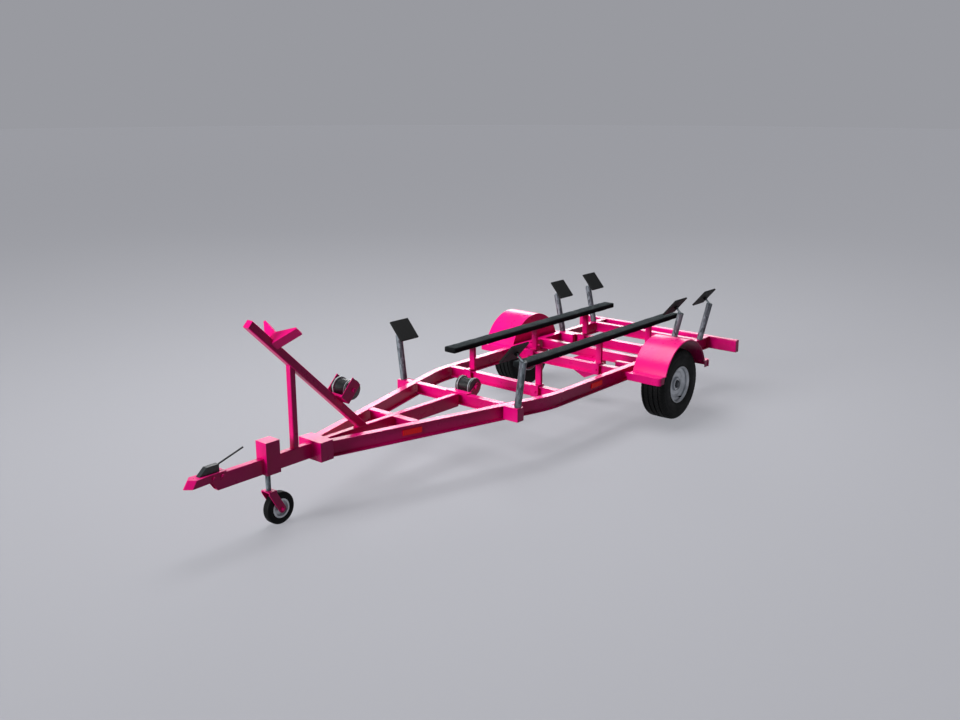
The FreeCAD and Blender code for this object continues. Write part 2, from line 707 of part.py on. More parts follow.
def fork_shoulder(edge):
    if edge.Curve.TypeId != "Part::GeomLine":
        return False
    box_of = edge.BoundBox
    high = box_of.ZMin > (crown_top - s.fork_crown / 2).value
    return high and abs(abs(box_of.YMin) - fork_half.value) < 0.1 and box_of.YLength < 0.1


round_edges(fork_body, fork_shoulder, s.fork_round)
fork_bore = cylinder("fork_bore", s.stem_diameter / 2 + s.stem_gap, s.fork_crown * 3,
                     leg_x, 0, crown_top - s.fork_crown * 2)
fork_ends = [cross_cylinder("fork_end_" + label, s.fork_end, pair, caster_x, s.caster_radius)
             for label, pair in (("left", (inner_half, fork_half)),
                                 ("right", (-fork_half, -inner_half)))]
caster_pin = cross_cylinder("caster_pin", s.caster_pin / 2, (-fork_half, fork_half),
                            caster_x, s.caster_radius)
fork_bored = cut("fork_bored", fork_body, fork_bore)
node(fuse("jockey_fork", [fork_bored, caster_pin] + fork_ends), "jockey_fork")


# Jockey wheel: a plain rim with its bearing bore, in a solid tyre.
def turned(name, points, x, y, z):
    """A solid turned about a line along Y; points are (distance along Y, radius)."""
    body = new_body(name)
    sketch = new_sketch(body, name + "_outline", "YZ_Plane")
    outline(sketch, points)
    revolve(body, sketch)
    place(body, x, y, z)
    return body


caster_half = s.caster_width / 2
caster_seat = s.caster_rim - s.fork_crown
caster_hub = caster_half + s.fork_side_gap / 2
bore = s.caster_pin / 2 + s.stem_gap
caster_rim = turned("jockey_rim", [
    (-caster_hub, bore), (caster_hub, bore), (caster_hub, s.caster_pin),
    (caster_half / 4, s.caster_pin * 1.4), (caster_half / 4, caster_seat - s.leg_wall * 1.5),
    (caster_half * 0.96, caster_seat - s.leg_wall), (caster_half * 0.96, s.caster_rim),
    (caster_half * 0.7, caster_seat), (-caster_half * 0.7, caster_seat),
    (-caster_half * 0.96, s.caster_rim), (-caster_half * 0.96, caster_seat - s.leg_wall),
    (-caster_half / 4, caster_seat - s.leg_wall * 1.5), (-caster_half / 4, s.caster_pin * 1.4),
    (-caster_hub, s.caster_pin)],
    caster_x, 0, s.caster_radius)
node(caster_rim, "jockey_rim")
caster_bead = caster_half * 0.7 - s.seat_gap
caster_tyre = turned("jockey_tyre", [
    (-caster_bead, caster_seat + s.seat_gap), (caster_bead, caster_seat + s.seat_gap),
    (caster_bead, s.caster_rim + s.seat_gap), (caster_half * 0.96, s.caster_rim + s.seat_gap * 2),
    (caster_half, s.caster_radius * 0.78), (caster_half * 0.94, s.caster_radius * 0.92),
    (s.caster_tread / 2, s.caster_radius), (-s.caster_tread / 2, s.caster_radius),
    (-caster_half * 0.94, s.caster_radius * 0.92), (-caster_half, s.caster_radius * 0.78),
    (-caster_half * 0.96, s.caster_rim + s.seat_gap * 2), (-caster_bead, s.caster_rim + s.seat_gap)],
    caster_x, 0, s.caster_radius)
node(caster_tyre, "jockey_tyre")


# Road wheels: tyre, rim with its disc, and hub on a stub axle.
rim_foot = s.rim_reach - s.rim_wall * 2.4
rim_seat = s.rim_flange - s.rim_wall * 2


def road_tyre(name, side):
    half = s.tyre_width / 2
    bead = rim_foot - s.seat_gap
    wall = s.wheel_radius - s.rim_flange
    profile = [
        (bead, rim_seat + s.seat_gap), (bead, s.rim_flange + s.seat_gap),
        (s.rim_reach, s.rim_flange + s.seat_gap * 2), (half, s.rim_flange + wall * 0.4),
        (half * 0.98, s.rim_flange + wall * 0.78)]
    for turn in (22, 45, 67, 90):
        angle = sized(turn)
        profile.append((half * 0.7 + s.tyre_shoulder * cosine(angle),
                        s.wheel_radius - s.tyre_shoulder + s.tyre_shoulder * sine(angle)))
    body = new_body(name)
    sketch = new_sketch(body, name + "_outline", "YZ_Plane")
    outline(sketch, profile + [(-y, z) for y, z in reversed(profile)])
    revolve(body, sketch)
    place(body, at(s.wheel_station), side * s.wheel_y, s.wheel_radius)
    return body


def road_rim(name, side):
    half = s.tyre_width / 2
    wall = s.rim_wall
    disc = s.rim_reach - s.disc_inset
    points = [
        (s.rim_reach, s.rim_flange), (rim_foot, rim_seat), (half * 0.3, rim_seat - wall),
        (half * 0.2, s.rim_well), (-half * 0.2, s.rim_well), (-half * 0.3, rim_seat - wall),
        (-rim_foot, rim_seat), (-s.rim_reach, s.rim_flange), (-s.rim_reach - wall / 2, s.rim_flange - wall),
        (-rim_foot, rim_seat - wall), (-half * 0.33, rim_seat - wall * 2),
        (-half * 0.22, s.rim_well - wall), (half * 0.22, s.rim_well - wall),
        (half * 0.33, rim_seat - wall * 2), (disc - s.disc_wall, rim_seat - wall * 1.6),
        (disc - s.disc_wall, s.hub_barrel + s.stem_gap), (disc, s.hub_barrel + s.stem_gap),
        (disc, s.rim_well - wall * 2), (disc + s.disc_wall, rim_seat - wall * 1.4),
        (rim_foot, rim_seat - wall), (s.rim_reach + wall / 2, s.rim_flange - wall)]
    body = new_body(name)
    sketch = new_sketch(body, name + "_outline", "YZ_Plane")
    outline(sketch, [(side * y, z) for y, z in points])
    revolve(body, sketch)
    place(body, at(s.wheel_station), side * s.wheel_y, s.wheel_radius)
    return body


disc_back = s.wheel_y + s.rim_reach - s.disc_inset - s.disc_wall
hub_back = disc_back - s.seat_gap - s.hub_flange - s.hub_barrel


def hub(name, side):
    """Hub flange behind the disc, barrel through it, cap outside; bored for the stub axle."""
    bore_radius = s.spindle_radius + s.spindle_gap
    flange_front = disc_back - s.seat_gap
    flange_back = flange_front - s.hub_flange
    cap_front = disc_back + s.disc_wall + s.cap_length
    points = [
        (hub_back, bore_radius), (hub_back, s.hub_barrel), (flange_back, s.hub_barrel),
        (flange_back, s.hub_radius), (flange_front, s.hub_radius),
        (flange_front, s.hub_barrel), (disc_back + s.disc_wall, s.hub_barrel),
        (disc_back + s.disc_wall, s.cap_radius), (cap_front - s.cap_radius / 3, s.cap_radius),
        (cap_front, s.cap_radius / 1.5), (cap_front, 0),
        (cap_front - s.disc_wall, 0), (cap_front - s.disc_wall, bore_radius)]
    body = new_body(name)
    sketch = new_sketch(body, name + "_outline", "YZ_Plane")
    outline(sketch, [(side * y, z) for y, z in points])
    revolve(body, sketch)
    place(body, at(s.wheel_station), 0, s.wheel_radius)
    return body


for side, label in ((1, "left"), (-1, "right")):
    node(road_tyre("tyre_" + label, side), "tyre_" + label)
    node(road_rim("rim_" + label, side), "rim_" + label)
    node(hub("hub_" + label, side), "hub_" + label)

# Axle: a square tube with a stub axle at each end and a box round its middle, below member 5.
axle_end = hub_back - s.axle_end_gap
axle_half = s.axle_size / 2
axle_tube = box("axle_tube", (at(s.wheel_station) - axle_half, at(s.wheel_station) + axle_half),
                (-axle_end, axle_end), (s.wheel_radius - axle_half, s.wheel_radius + axle_half))
stub_end = disc_back + s.disc_wall
stub_axles = cross_cylinder("stub_axles", s.spindle_radius, (-stub_end, stub_end),
                            at(s.wheel_station), s.wheel_radius)
stub_shoulders = cross_cylinder("stub_shoulders", s.axle_size / 2 - s.tube_wall,
                                (-hub_back + s.fork_gap, hub_back - s.fork_gap),
                                at(s.wheel_station), s.wheel_radius)
axle_box = new_body("axle_box")
axle_box_end = new_sketch(axle_box, "axle_box_end", "YZ_Plane", at(s.wheel_station) - s.box_rear)
box_top = s.frame_top - s.member_height - s.seat_gap
outline(axle_box_end, [
    (-s.box_reach, box_top), (-s.box_reach, s.box_shoulder), (0, s.box_keel),
    (s.box_reach, s.box_shoulder), (s.box_reach, box_top)])
pad(axle_box, axle_box_end, s.box_front + s.box_rear)
node(fuse("axle_beam", [axle_tube, stub_axles, stub_shoulders, axle_box]), "axle_beam")


# Axle brackets: channels that hold the axle under each rail.
def axle_bracket(label, side):
    x = at(s.wheel_station)
    top = s.frame_top - s.rail_height - s.seat_gap
    low = s.wheel_radius + s.axle_size / 2 + s.seat_gap
    middle = side * s.rail_rear_y
    half = s.rail_width / 2
    plate = box("bracket_top_" + label, (x - s.seat_length / 2, x + s.seat_length / 2),
                (middle - half, middle + half), (low, top))
    cheeks = []
    for end, name in ((-1, "rear"), (1, "front")):
        face = x + end * (axle_half + s.seat_gap)
        outer = face + end * s.seat_plate
        pair = (face, outer) if end > 0 else (outer, face)
        cheeks.append(box("bracket_%s_%s" % (name, label), pair, (middle - half, middle + half),
                          (s.wheel_radius - axle_half / 2, low + s.seat_plate / 2)))
    return fuse("axle_bracket_" + label, [plate] + cheeks)


node(compound("axle_brackets", [axle_bracket("left", 1), axle_bracket("right", -1)]),
     "axle_brackets")


# Fenders: an arch with a rolled outer edge and an inner skirt, between two round cornered steps.
def fender(label, side):
    x = at(s.wheel_station)
    middle_z = s.wheel_radius + s.fender_rise
    inner_y = side * (s.fender_y - s.fender_width / 2)
    outer_y = side * (s.fender_y + s.fender_width / 2)
    across = (inner_y, outer_y) if side > 0 else (outer_y, inner_y)
    drum = cross_cylinder("fender_drum_" + label, s.fender_radius, across, x, middle_z)
    hollow = cross_cylinder("fender_hollow_" + label, s.fender_radius - s.fender_sheet,
                            (across[0] - s.fender_sheet, across[1] + s.fender_sheet), x, middle_z)
    upper = box("fender_upper_" + label, (x - s.fender_radius, x + s.fender_radius), across,
                (s.step_top - s.fender_sheet, middle_z + s.fender_radius))
    arch = common("fender_arch_" + label, [cut("fender_shell_" + label, drum, hollow), upper])
    bead_ring = doc.addObject("Part::Torus", "fender_bead_" + label)
    bind(bead_ring, "Radius1", s.fender_radius - s.fender_bead)
    bind(bead_ring, "Radius2", s.fender_bead)
    place(bead_ring, x, outer_y, middle_z, (1, 0, 0), 90)
    bead_room = box("fender_bead_room_" + label, (x - s.fender_radius, x + s.fender_radius),
                    (outer_y - s.fender_bead, outer_y + s.fender_bead),
                    (s.step_top - s.fender_sheet, middle_z + s.fender_radius))
    bead = common("fender_rolled_" + label, [bead_ring, bead_room])
    skirt_y = (inner_y, inner_y + side * s.fender_sheet)
    skirt_y = skirt_y if side > 0 else (skirt_y[1], skirt_y[0])
    skirt_half = s.step_front - s.fender_arm * 1.5 - s.seat_gap
    skirt_disc = cross_cylinder("skirt_disc_" + label, s.fender_radius - s.fender_sheet / 2,
                                skirt_y, x, middle_z)
    skirt_upper = box("skirt_upper_" + label, (x - s.fender_radius, x + s.fender_radius), skirt_y,
                      (s.step_top - s.step_height, middle_z + s.fender_radius))
    skirt_band = box("skirt_band_" + label, (x - skirt_half, x + skirt_half), skirt_y,
                     (s.step_top - s.step_height, s.step_top - s.fender_sheet / 2))
    skirt = common("skirt_arch_" + label, [skirt_disc, skirt_upper])
    pieces = [arch, bead, skirt, skirt_band]
    for end, name in ((1, "front"), (-1, "rear")):
        body = new_body("fender_step_%s_%s" % (name, label))
        sketch = new_sketch(body, "step_%s_%s" % (name, label), "XY_Plane",
                            s.step_top - s.step_height)
        root = s.fender_radius * 0.86
        rectangle(sketch, (x + end * root, x + end * s.step_front), (inner_y, outer_y))
        pad(body, sketch, s.step_height)

        def corner(edge, end=end):
            if not runs_along((0, 0, 1))(edge):
                return False
            near_end = abs(edge.BoundBox.XMin - (x + end * s.step_front).value) < 0.1
            return near_end and abs(edge.BoundBox.YMin - outer_y.value) < 0.1

        round_edges(body, corner, s.step_corner)
        shell_room = box("step_room_%s_%s" % (name, label),
                         (x - s.fender_radius * 2, x + s.fender_radius * 2), across,
                         (0, s.step_top - s.fender_sheet))
        drum_room = cross_cylinder("step_drum_%s_%s" % (name, label),
                                   s.fender_radius - s.fender_sheet / 2, across, x, middle_z)
        inside = new_body("step_inside_%s_%s" % (name, label))
        inside_sketch = new_sketch(inside, "step_hollow_%s_%s" % (name, label), "XY_Plane",
                                   s.step_top - s.step_height)
        skin = s.fender_sheet
        rectangle(inside_sketch, (x + end * (root - skin), x + end * (s.step_front - skin)),
                  (inner_y - side * skin, outer_y - side * skin))
        pad(inside, inside_sketch, s.step_height - skin)
        pieces.append(cut("fender_step_shell_%s_%s" % (name, label), body,
                          fuse("step_cuts_%s_%s" % (name, label),
                               [drum_room, common("step_core_%s_%s" % (name, label),
                                                  [inside, shell_room])])))
    return fuse("fender_" + label, pieces)


for side, label in ((1, "left"), (-1, "right")):
    node(fender(label, side), "fender_" + label)


# Fender arms: bars from the rail's web to the underside of each step.
def fender_arm(label, side, end, name):
    x = at(s.wheel_station) + end * (s.step_front - s.fender_arm)
    root = side * (s.rail_rear_y + s.rail_web / 2 + s.seat_gap)
    tip = side * (s.fender_y + s.fender_width / 4)
    across = (root, tip) if side > 0 else (tip, root)
    top = s.step_top - s.fender_sheet - s.seat_gap
    return box("fender_arm_%s_%s" % (name, label), (x - s.fender_arm / 2, x + s.fender_arm / 2),
               across, (top - s.fender_arm_height, top))


arms = [fender_arm(label, side, end, name)
        for side, label in ((1, "left"), (-1, "right")) for end, name in ((1, "front"), (-1, "rear"))]
node(compound("fender_arms", arms), "fender_arms")


# Bow post: a leaning square tube, cut level at its foot; pieces on it share its lean.
def on_post(item, along, across, above):
    """Places an item in the post's own frame: along the post, to the left, off its face."""
    x = at(s.post_foot) + along * cosine(s.post_angle) - above * sine(s.post_angle)
    z = s.frame_top + along * sine(s.post_angle) + above * cosine(s.post_angle)
    return place(item, x, across, z, (0, 1, 0), -s.post_angle)


post_tube = box_tube("bow_post_tube", s.post_size, s.post_size, s.post_length + s.post_size)
on_post(post_tube, -s.post_size, 0, 0)
post_foot_room = box("post_foot_room",
                     (at(s.post_foot) - s.post_size * 3, at(s.post_foot) + s.post_size * 3),
                     (-s.post_size, s.post_size),
                     (s.frame_top - s.post_size * 3, s.frame_top + s.seat_gap))
node(cut("bow_post", post_tube, post_foot_room), "bow_post")

# Strut: an upright square tube from the drawbar to the underside of the post.
strut_top = (s.frame_top + (s.strut_station - s.post_foot) * tangent(s.post_angle)
             - s.post_size / 2 / cosine(s.post_angle))
strut_tube = box_tube("bow_strut_tube", s.strut_size, s.strut_size,
                      strut_top + s.strut_size - s.frame_top - s.seat_gap, "XY_Plane")
place(strut_tube, at(s.strut_station), 0, s.frame_top + s.seat_gap)
strut_cut = box("strut_top_cut", (-s.post_size * 3, s.post_size * 3), (-s.post_size, s.post_size),
                (0, s.post_size * 3))
strut_room = on_post(strut_cut, (s.strut_station - s.post_foot) / cosine(s.post_angle)
                     - s.post_size * 3, -s.post_size, -s.post_size / 2 - s.seat_gap)
node(cut("bow_strut", strut_tube, strut_room), "bow_strut")

# Bow stop: a block with a V on top, notched below to straddle the post.
stop_body = new_body("bow_stop")
stop_sketch = new_sketch(stop_body, "stop_outline", "YZ_Plane")
notch = s.post_size / 2 + s.seat_gap
wing = [(notch, notch), (notch, -s.stop_low), (s.stop_reach, s.stop_tip),
        (s.stop_reach - s.stop_edge, s.stop_tip + s.stop_edge)]
outline(stop_sketch, wing + [(0, s.stop_vee)] + [(-y, z) for y, z in reversed(wing)])
pad(stop_body, stop_sketch, s.stop_width, midplane=True)
on_post(stop_body, s.stop_place, 0, 0)
node(stop_body, "bow_stop")


# Rollers: a ribbed barrel between two flanges, bored for its pin.
def roller(name):
    half = s.roller_length / 2
    bore_radius = s.roller_pin + s.stem_gap
    rib = s.roller_length / 9
    points = [(-half, bore_radius), (half, bore_radius), (half, s.roller_radius),
              (half - rib, s.roller_radius), (half - rib, s.roller_core),
              (rib, s.roller_core), (rib / 2, s.roller_core - rib / 2), (-rib / 2, s.roller_core - rib / 2),
              (-rib, s.roller_core),
              (-half + rib, s.roller_core), (-half + rib, s.roller_radius), (-half, s.roller_radius)]
    body = new_body(name)
    sketch = new_sketch(body, name + "_outline", "YZ_Plane")
    outline(sketch, points)
    revolve(body, sketch)
    return body


roller_inside = s.roller_length / 2 + s.roller_side_gap
roller_outside = roller_inside + s.cheek_plate

# Bow roller: in a U bracket on the post.
base_half = s.cheek_length / 2
pin_back = s.bow_roller_place - s.bow_bracket_place
bracket_parts = [box("bow_bracket_base", (-base_half, base_half),
                     (-roller_outside, roller_outside), (0, s.bracket_base))]
for side, label in ((1, "left"), (-1, "right")):
    face, outer = side * roller_inside, side * roller_outside
    across = (face, outer) if side > 0 else (outer, face)
    bracket_parts.append(box("bow_cheek_" + label, (-base_half, base_half), across,
                             (0, s.cheek_rise)))
bracket_parts.append(cross_cylinder("bow_roller_pin", s.roller_pin,
                                    (-roller_outside, roller_outside), pin_back, s.bow_roller_rise))
bow_bracket = fuse("bow_roller_bracket", bracket_parts)
on_post(bow_bracket, s.bow_bracket_place, 0, s.post_size / 2 + s.seat_gap)
node(bow_bracket, "bow_roller_bracket")
bow_roller = roller("bow_roller")
on_post(bow_roller, s.bow_roller_place, 0, s.post_size / 2 + s.seat_gap + s.bow_roller_rise)
node(bow_roller, "bow_roller")

# Keel roller: behind the second cross member, on a plate with two cheeks.
keel_x = at(s.member_2) - s.member_width / 2 - s.keel_roller_back
keel_z = s.frame_top + s.keel_roller_rise
plate_z = s.frame_top + s.seat_gap
plate_top = plate_z + s.keel_plate
plate_rear = at(s.member_2) - s.keel_plate_rear
keel_parts = [box("keel_plate", (plate_rear, at(s.member_2) + s.keel_plate_front),
                  (-s.keel_plate_reach, s.keel_plate_reach), (plate_z, plate_top))]
for side, label in ((1, "left"), (-1, "right")):
    cheek = new_body("keel_cheek_" + label)
    cheek_sketch = new_sketch(cheek, "keel_cheek_outline_" + label, "XZ_Plane",
                              -side * (roller_inside + s.cheek_plate / 2))
    reach = s.roller_radius
    outline(cheek_sketch, [
        (plate_rear + s.keel_plate * 2, plate_z), (plate_rear + s.keel_plate * 2, plate_top),
        (keel_x + reach * 0.85, plate_top), (keel_x - reach * 0.28, keel_z + reach * 0.53),
        (keel_x - reach * 0.97, keel_z + reach * 0.13), (keel_x - reach * 0.15, keel_z - reach * 0.95),
        (plate_rear, plate_z)])
    pad(cheek, cheek_sketch, s.cheek_plate, midplane=True)
    keel_parts.append(cheek)
keel_parts.append(cross_cylinder("keel_pin", s.roller_pin, (-roller_outside, roller_outside),
                                 keel_x, keel_z))
node(fuse("keel_roller_bracket", keel_parts), "keel_roller_bracket")
keel_roller = roller("keel_roller")
place(keel_roller, keel_x, 0, keel_z)
node(keel_roller, "keel_roller")


# Prop sockets: boxes welded outside the slanted rails, under the front props.
def prop_socket(label, side):
    half = s.socket_length / 2
    x = at(s.prop_front + s.socket_ahead)
    root = side * (s.rail_rear_y - (s.prop_front - s.bend_station) * slope)
    outer = side * (s.prop_y_front + s.prop_diameter / 2 + s.socket_margin)
    across = (root, outer) if side > 0 else (outer, root)
    blank = box("socket_blank_" + label, (x - half, x + half), across,
                (s.frame_top - s.socket_height, s.frame_top))
    room = rail_rooms[0] if side > 0 else rail_rooms[1]
    return cut("socket_" + label, blank, room)


# Stubs: short blocks welded to the rails' inner side, two of them against cross member 6.
def rail_stub(label, side, x, name):
    inner = side * (s.rail_rear_y - s.rail_width / 2 - s.seat_gap)
    tip = side * (s.rail_rear_y - s.stub_reach)
    across = (tip, inner) if side > 0 else (inner, tip)
    return box("stub_%s_%s" % (name, label), (x, x + s.stub_length), across,
               (s.frame_top - s.member_height, s.frame_top))


socket_parts = []
for side, label in ((1, "left"), (-1, "right")):
    socket_parts.append(prop_socket(label, side))
    socket_parts.append(rail_stub(label, side, at(s.member_6 + s.member_width / 2 + s.seat_gap),
                                  "rear"))
    socket_parts.append(rail_stub(label, side, at(s.stub_station) - s.stub_length / 2, "front"))
node(compound("prop_sockets", socket_parts), "prop_sockets")

# Side props: tubes that lean outward, with a link that ends in a bored knuckle.
front_prop = SimpleNamespace(y=s.prop_y_front, angle=s.prop_angle_front,
                             pivot_in=s.pivot_in_front, pivot_up=s.pivot_up_front,
                             forward=s.pad_forward)
rear_prop = SimpleNamespace(y=s.prop_y_rear, angle=s.prop_angle_rear,
                            pivot_in=s.pivot_in_rear, pivot_up=s.pivot_up_rear,
                            forward=sized(0))


def prop_end(kind, side):
    """Middle of a prop's upper end."""
    return (side * (kind.y + s.prop_length * sine(kind.angle)),
            s.frame_top + s.prop_length * cosine(kind.angle))


def pad_pivot(kind, side):
    end_y, end_z = prop_end(kind, side)
    return end_y - side * kind.pivot_in, end_z + kind.pivot_up


def side_prop(tag, station, side, kind):
    tube = cylinder("prop_tube_" + tag, s.prop_diameter / 2, s.prop_length,
                    at(station), side * kind.y, s.frame_top, (1, 0, 0), -side * kind.angle)
    foot_room = box("prop_foot_" + tag,
                    (at(station) - s.prop_diameter, at(station) + s.prop_diameter),
                    (side * kind.y - s.prop_diameter, side * kind.y + s.prop_diameter),
                    (s.frame_top - s.prop_diameter, s.frame_top + s.seat_gap))
    top_y, top_z = prop_end(kind, side)
    pivot_y, pivot_z = pad_pivot(kind, side)
    knuckle = s.link_width / 2
    swing = arc_tangent(kind.pivot_in, kind.pivot_up)
    reach = kind.pivot_up / cosine(swing)
    link = cylinder("prop_link_" + tag, knuckle * 0.9, reach, at(station), top_y, top_z,
                    (1, 0, 0), side * swing)
    eye = cylinder("prop_eye_" + tag, knuckle, s.link_width, at(station) - knuckle,
                   pivot_y, pivot_z, (0, 1, 0), 90)
    bore_hole = cylinder("prop_bore_" + tag, s.pad_pin + s.stem_gap, s.link_width * 2,
                         at(station) - s.link_width, pivot_y, pivot_z, (0, 1, 0), 90)
    post = cut("prop_post_" + tag, tube, foot_room)
    return cut("prop_" + tag, fuse("prop_arm_" + tag, [post, link, eye]), bore_hole)


# Side pads: slabs with two ears and a pin, turned about the pivot.
def side_pad(tag, station, side, kind):
    back = side * -s.pad_ear
    face = back - side * s.pad_thickness
    across = (face, back) if side > 0 else (back, face)
    half = s.pad_length / 2
    parts = [box("pad_slab_" + tag, (kind.forward - half, kind.forward + half), across,
                 (-s.pad_height / 2, s.pad_height / 2))]
    eye = s.link_width / 2
    for end, name in ((1, "front"), (-1, "rear")):
        near = end * (eye + s.fork_gap / 2)
        far = near + end * s.pad_ear_plate
        pair = (near, far) if end > 0 else (far, near)
        ear = (back, sized(0)) if side > 0 else (sized(0), back)
        parts.append(box("pad_ear_%s_%s" % (tag, name), pair, ear, (-eye, eye)))
        parts.append(cylinder("pad_boss_%s_%s" % (tag, name), eye, s.pad_ear_plate,
                              pair[0], 0, 0, (0, 1, 0), 90))
    pin_half = eye + s.fork_gap / 2 + s.pad_ear_plate
    parts.append(cylinder("pad_pin_" + tag, s.pad_pin, pin_half * 2, -pin_half, 0, 0, (0, 1, 0), 90))
    pivot_y, pivot_z = pad_pivot(kind, side)
    return place(fuse("pad_" + tag, parts), at(station), pivot_y, pivot_z,
                 (1, 0, 0), -side * s.pad_angle)


prop_parts = []
for side, label in ((1, "left"), (-1, "right")):
    for name, station, kind in (("front", s.prop_front, front_prop),
                                ("middle", s.prop_middle, rear_prop),
                                ("rear", s.prop_rear, rear_prop)):
        tag = "%s_%s" % (name, label)
        prop_parts.append(side_prop(tag, station, side, kind))
        node(side_pad(tag, station, side, kind), "pad_" + tag)
node(compound("side_props", prop_parts), "side_props")

# Bunks: padded planks on three posts each, which stand on saddles over the cross members.
post_parts = []
for side, label in ((1, "left"), (-1, "right")):
    middle = side * s.bunk_y
    bunk = box("bunk_" + label, (at(s.bunk_rear), at(s.bunk_rear + s.bunk_length)),
               (middle - s.bunk_width / 2, middle + s.bunk_width / 2),
               (s.bunk_top - s.bunk_thickness, s.bunk_top))
    node(bunk, "bunk_" + label)
    for name, station in (("front", s.member_3), ("middle", s.member_4), ("rear", s.member_6)):
        x = at(station)
        half = s.member_width / 2 + s.seat_gap
        top = s.frame_top + s.seat_gap
        low = s.frame_top - s.member_height
        tag = "%s_%s" % (name, label)
        clamp = side * (s.bunk_post_y + s.clamp_shift)
        across = (clamp - s.clamp_width / 2, clamp + s.clamp_width / 2)
        saddle_outer = box("saddle_outer_" + tag,
                           (x - half - s.clamp_plate, x + half + s.clamp_plate), across,
                           (low, top + s.clamp_plate))
        saddle_room = box("saddle_room_" + tag, (x - half, x + half),
                          (clamp - s.clamp_width, clamp + s.clamp_width), (low - s.clamp_plate, top))
        saddle = cut("saddle_" + tag, saddle_outer, saddle_room)
        upright = box("bunk_upright_" + tag,
                      (x - half - s.clamp_plate, x - half - s.clamp_plate + s.bunk_post_depth),
                      (side * s.bunk_post_y - s.bunk_post_width / 2,
                       side * s.bunk_post_y + s.bunk_post_width / 2),
                      (top + s.clamp_plate / 2, s.bunk_top - s.bunk_thickness - s.seat_gap))
        post_parts.append(fuse("bunk_post_" + tag, [saddle, upright]))
node(compound("bunk_posts", post_parts), "bunk_posts")

# Reflectors: plates on the outer side of each rail's web.
reflector_parts = []
for side, label in ((1, "left"), (-1, "right")):
    slant = arc_tangent(s.rail_rear_y - s.rail_front_y, s.collar_rear - s.bend_station)
    for name, station in (("front", s.reflector_front), ("rear", s.reflector_rear)):
        x = at(station)
        z = s.frame_top - s.rail_height / 2 - s.reflector_height / 2
        plate = box("reflector_%s_%s" % (name, label), (0, s.reflector_length),
                    (0, s.reflector_depth), (0, s.reflector_height))
        off_centre = s.rail_web / 2 + s.seat_gap
        if name == "rear":
            y = side * (s.rail_rear_y + off_centre)
            if side < 0:
                y = y - s.reflector_depth
            place(plate, x - s.reflector_length / 2, y, z)
        else:
            centre_y = s.rail_rear_y - (station - s.bend_station) * slope
            start_x = x - cosine(slant) * s.reflector_length / 2
            start_y = centre_y + sine(slant) * s.reflector_length / 2
            gap = off_centre if side > 0 else off_centre + s.reflector_depth
            place(plate, start_x + gap * sine(slant), side * (start_y + gap * cosine(slant)), z,
                  (0, 0, 1), -side * slant)
        reflector_parts.append(plate)
node(compound("reflectors", reflector_parts), "reflectors")

# Coupling head: a pressed shank over the drawbar, with a chamfered sloping nose over the ball.
head_body = new_body("coupling_head_blank")
head_low = new_sketch(head_body, "head_low", "XY_Plane", s.head_bottom)
head_high = new_sketch(head_body, "head_high", "XY_Plane", s.head_top)
head_rear = s.drawbar_front - s.head_lap
for sketch, set_back in ((head_low, sized(0)), (head_high, s.head_slope)):
    half = s.head_width / 2
    rear_half = s.head_rear_width / 2
    tip = at(s.overall_length - set_back)
    outline(sketch, [
        (at(head_rear), -rear_half), (at(s.drawbar_front), -rear_half),
        (tip - s.head_chamfer, -half), (tip, -half * 0.1), (tip, half * 0.1),
        (tip - s.head_chamfer, half), (at(s.drawbar_front), rear_half), (at(head_rear), rear_half)])
head_loft = head_body.newObject("PartDesign::AdditiveLoft", "head_loft")
head_loft.Profile = head_low
head_loft.Sections = [head_high]
ball = doc.addObject("Part::Sphere", "ball_room")
ball.Radius = s.ball_diameter.value / 2
bind(ball, "Radius", s.ball_diameter / 2)
place(ball, at(s.overall_length - s.ball_back), 0, s.head_bottom)
head_room = box("head_drawbar_room",
                (at(head_rear) - s.head_width, at(s.drawbar_front + s.seat_gap)),
                (-s.drawbar_width / 2 - s.seat_gap, s.drawbar_width / 2 + s.seat_gap),
                (0, s.frame_top + s.seat_gap))
node(cut("coupling_head", head_body, fuse("head_cuts", [ball, head_room])), "coupling_head")

# Coupling latch: a block with a sloping front on the shank, and its lever.
latch_body = new_body("latch_wedge")
latch_sketch = new_sketch(latch_body, "latch_outline", "XZ_Plane")
latch_low = s.head_top + s.seat_gap
latch_high = latch_low + s.latch_height
latch_front = s.overall_length - s.latch_back
latch_rear = latch_front - s.latch_length
outline(latch_sketch, [
    (at(latch_rear), latch_low), (at(latch_front), latch_low),
    (at(latch_front - s.latch_slope), latch_high), (at(latch_rear), latch_high)])
pad(latch_body, latch_sketch, s.latch_width, midplane=True)
lever = cylinder("coupling_lever", s.lever_diameter / 2, s.lever_length + s.lever_diameter,
                 at(latch_rear) + s.lever_diameter, 0, latch_high - s.lever_diameter,
                 (0, 1, 0), s.lever_angle - 90)
node(fuse("coupling_latch", [latch_body, lever]), "coupling_latch")


def finish():
    """Checks every object, then writes each sub-part."""
    doc.recompute()
    faults = []
    for item in doc.Objects:
        if "Invalid" in item.State or "Error" in item.State:
            faults.append("%s %s" % (item.Name, item.State))
    for item in nodes:
        if item.Shape.isNull() or not item.Shape.isValid():
            faults.append(item.Label + " has no valid shape")
    if faults:
        raise SystemExit("\n".join(faults))
    os.makedirs("parts", exist_ok=True)
    for item in nodes:
        item.Shape.exportStep("parts/%s.step" % item.Label)
    print(len(nodes), "sub-parts")


finish()
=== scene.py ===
import json
import math

import bmesh
import bpy
from mathutils import Matrix, Vector


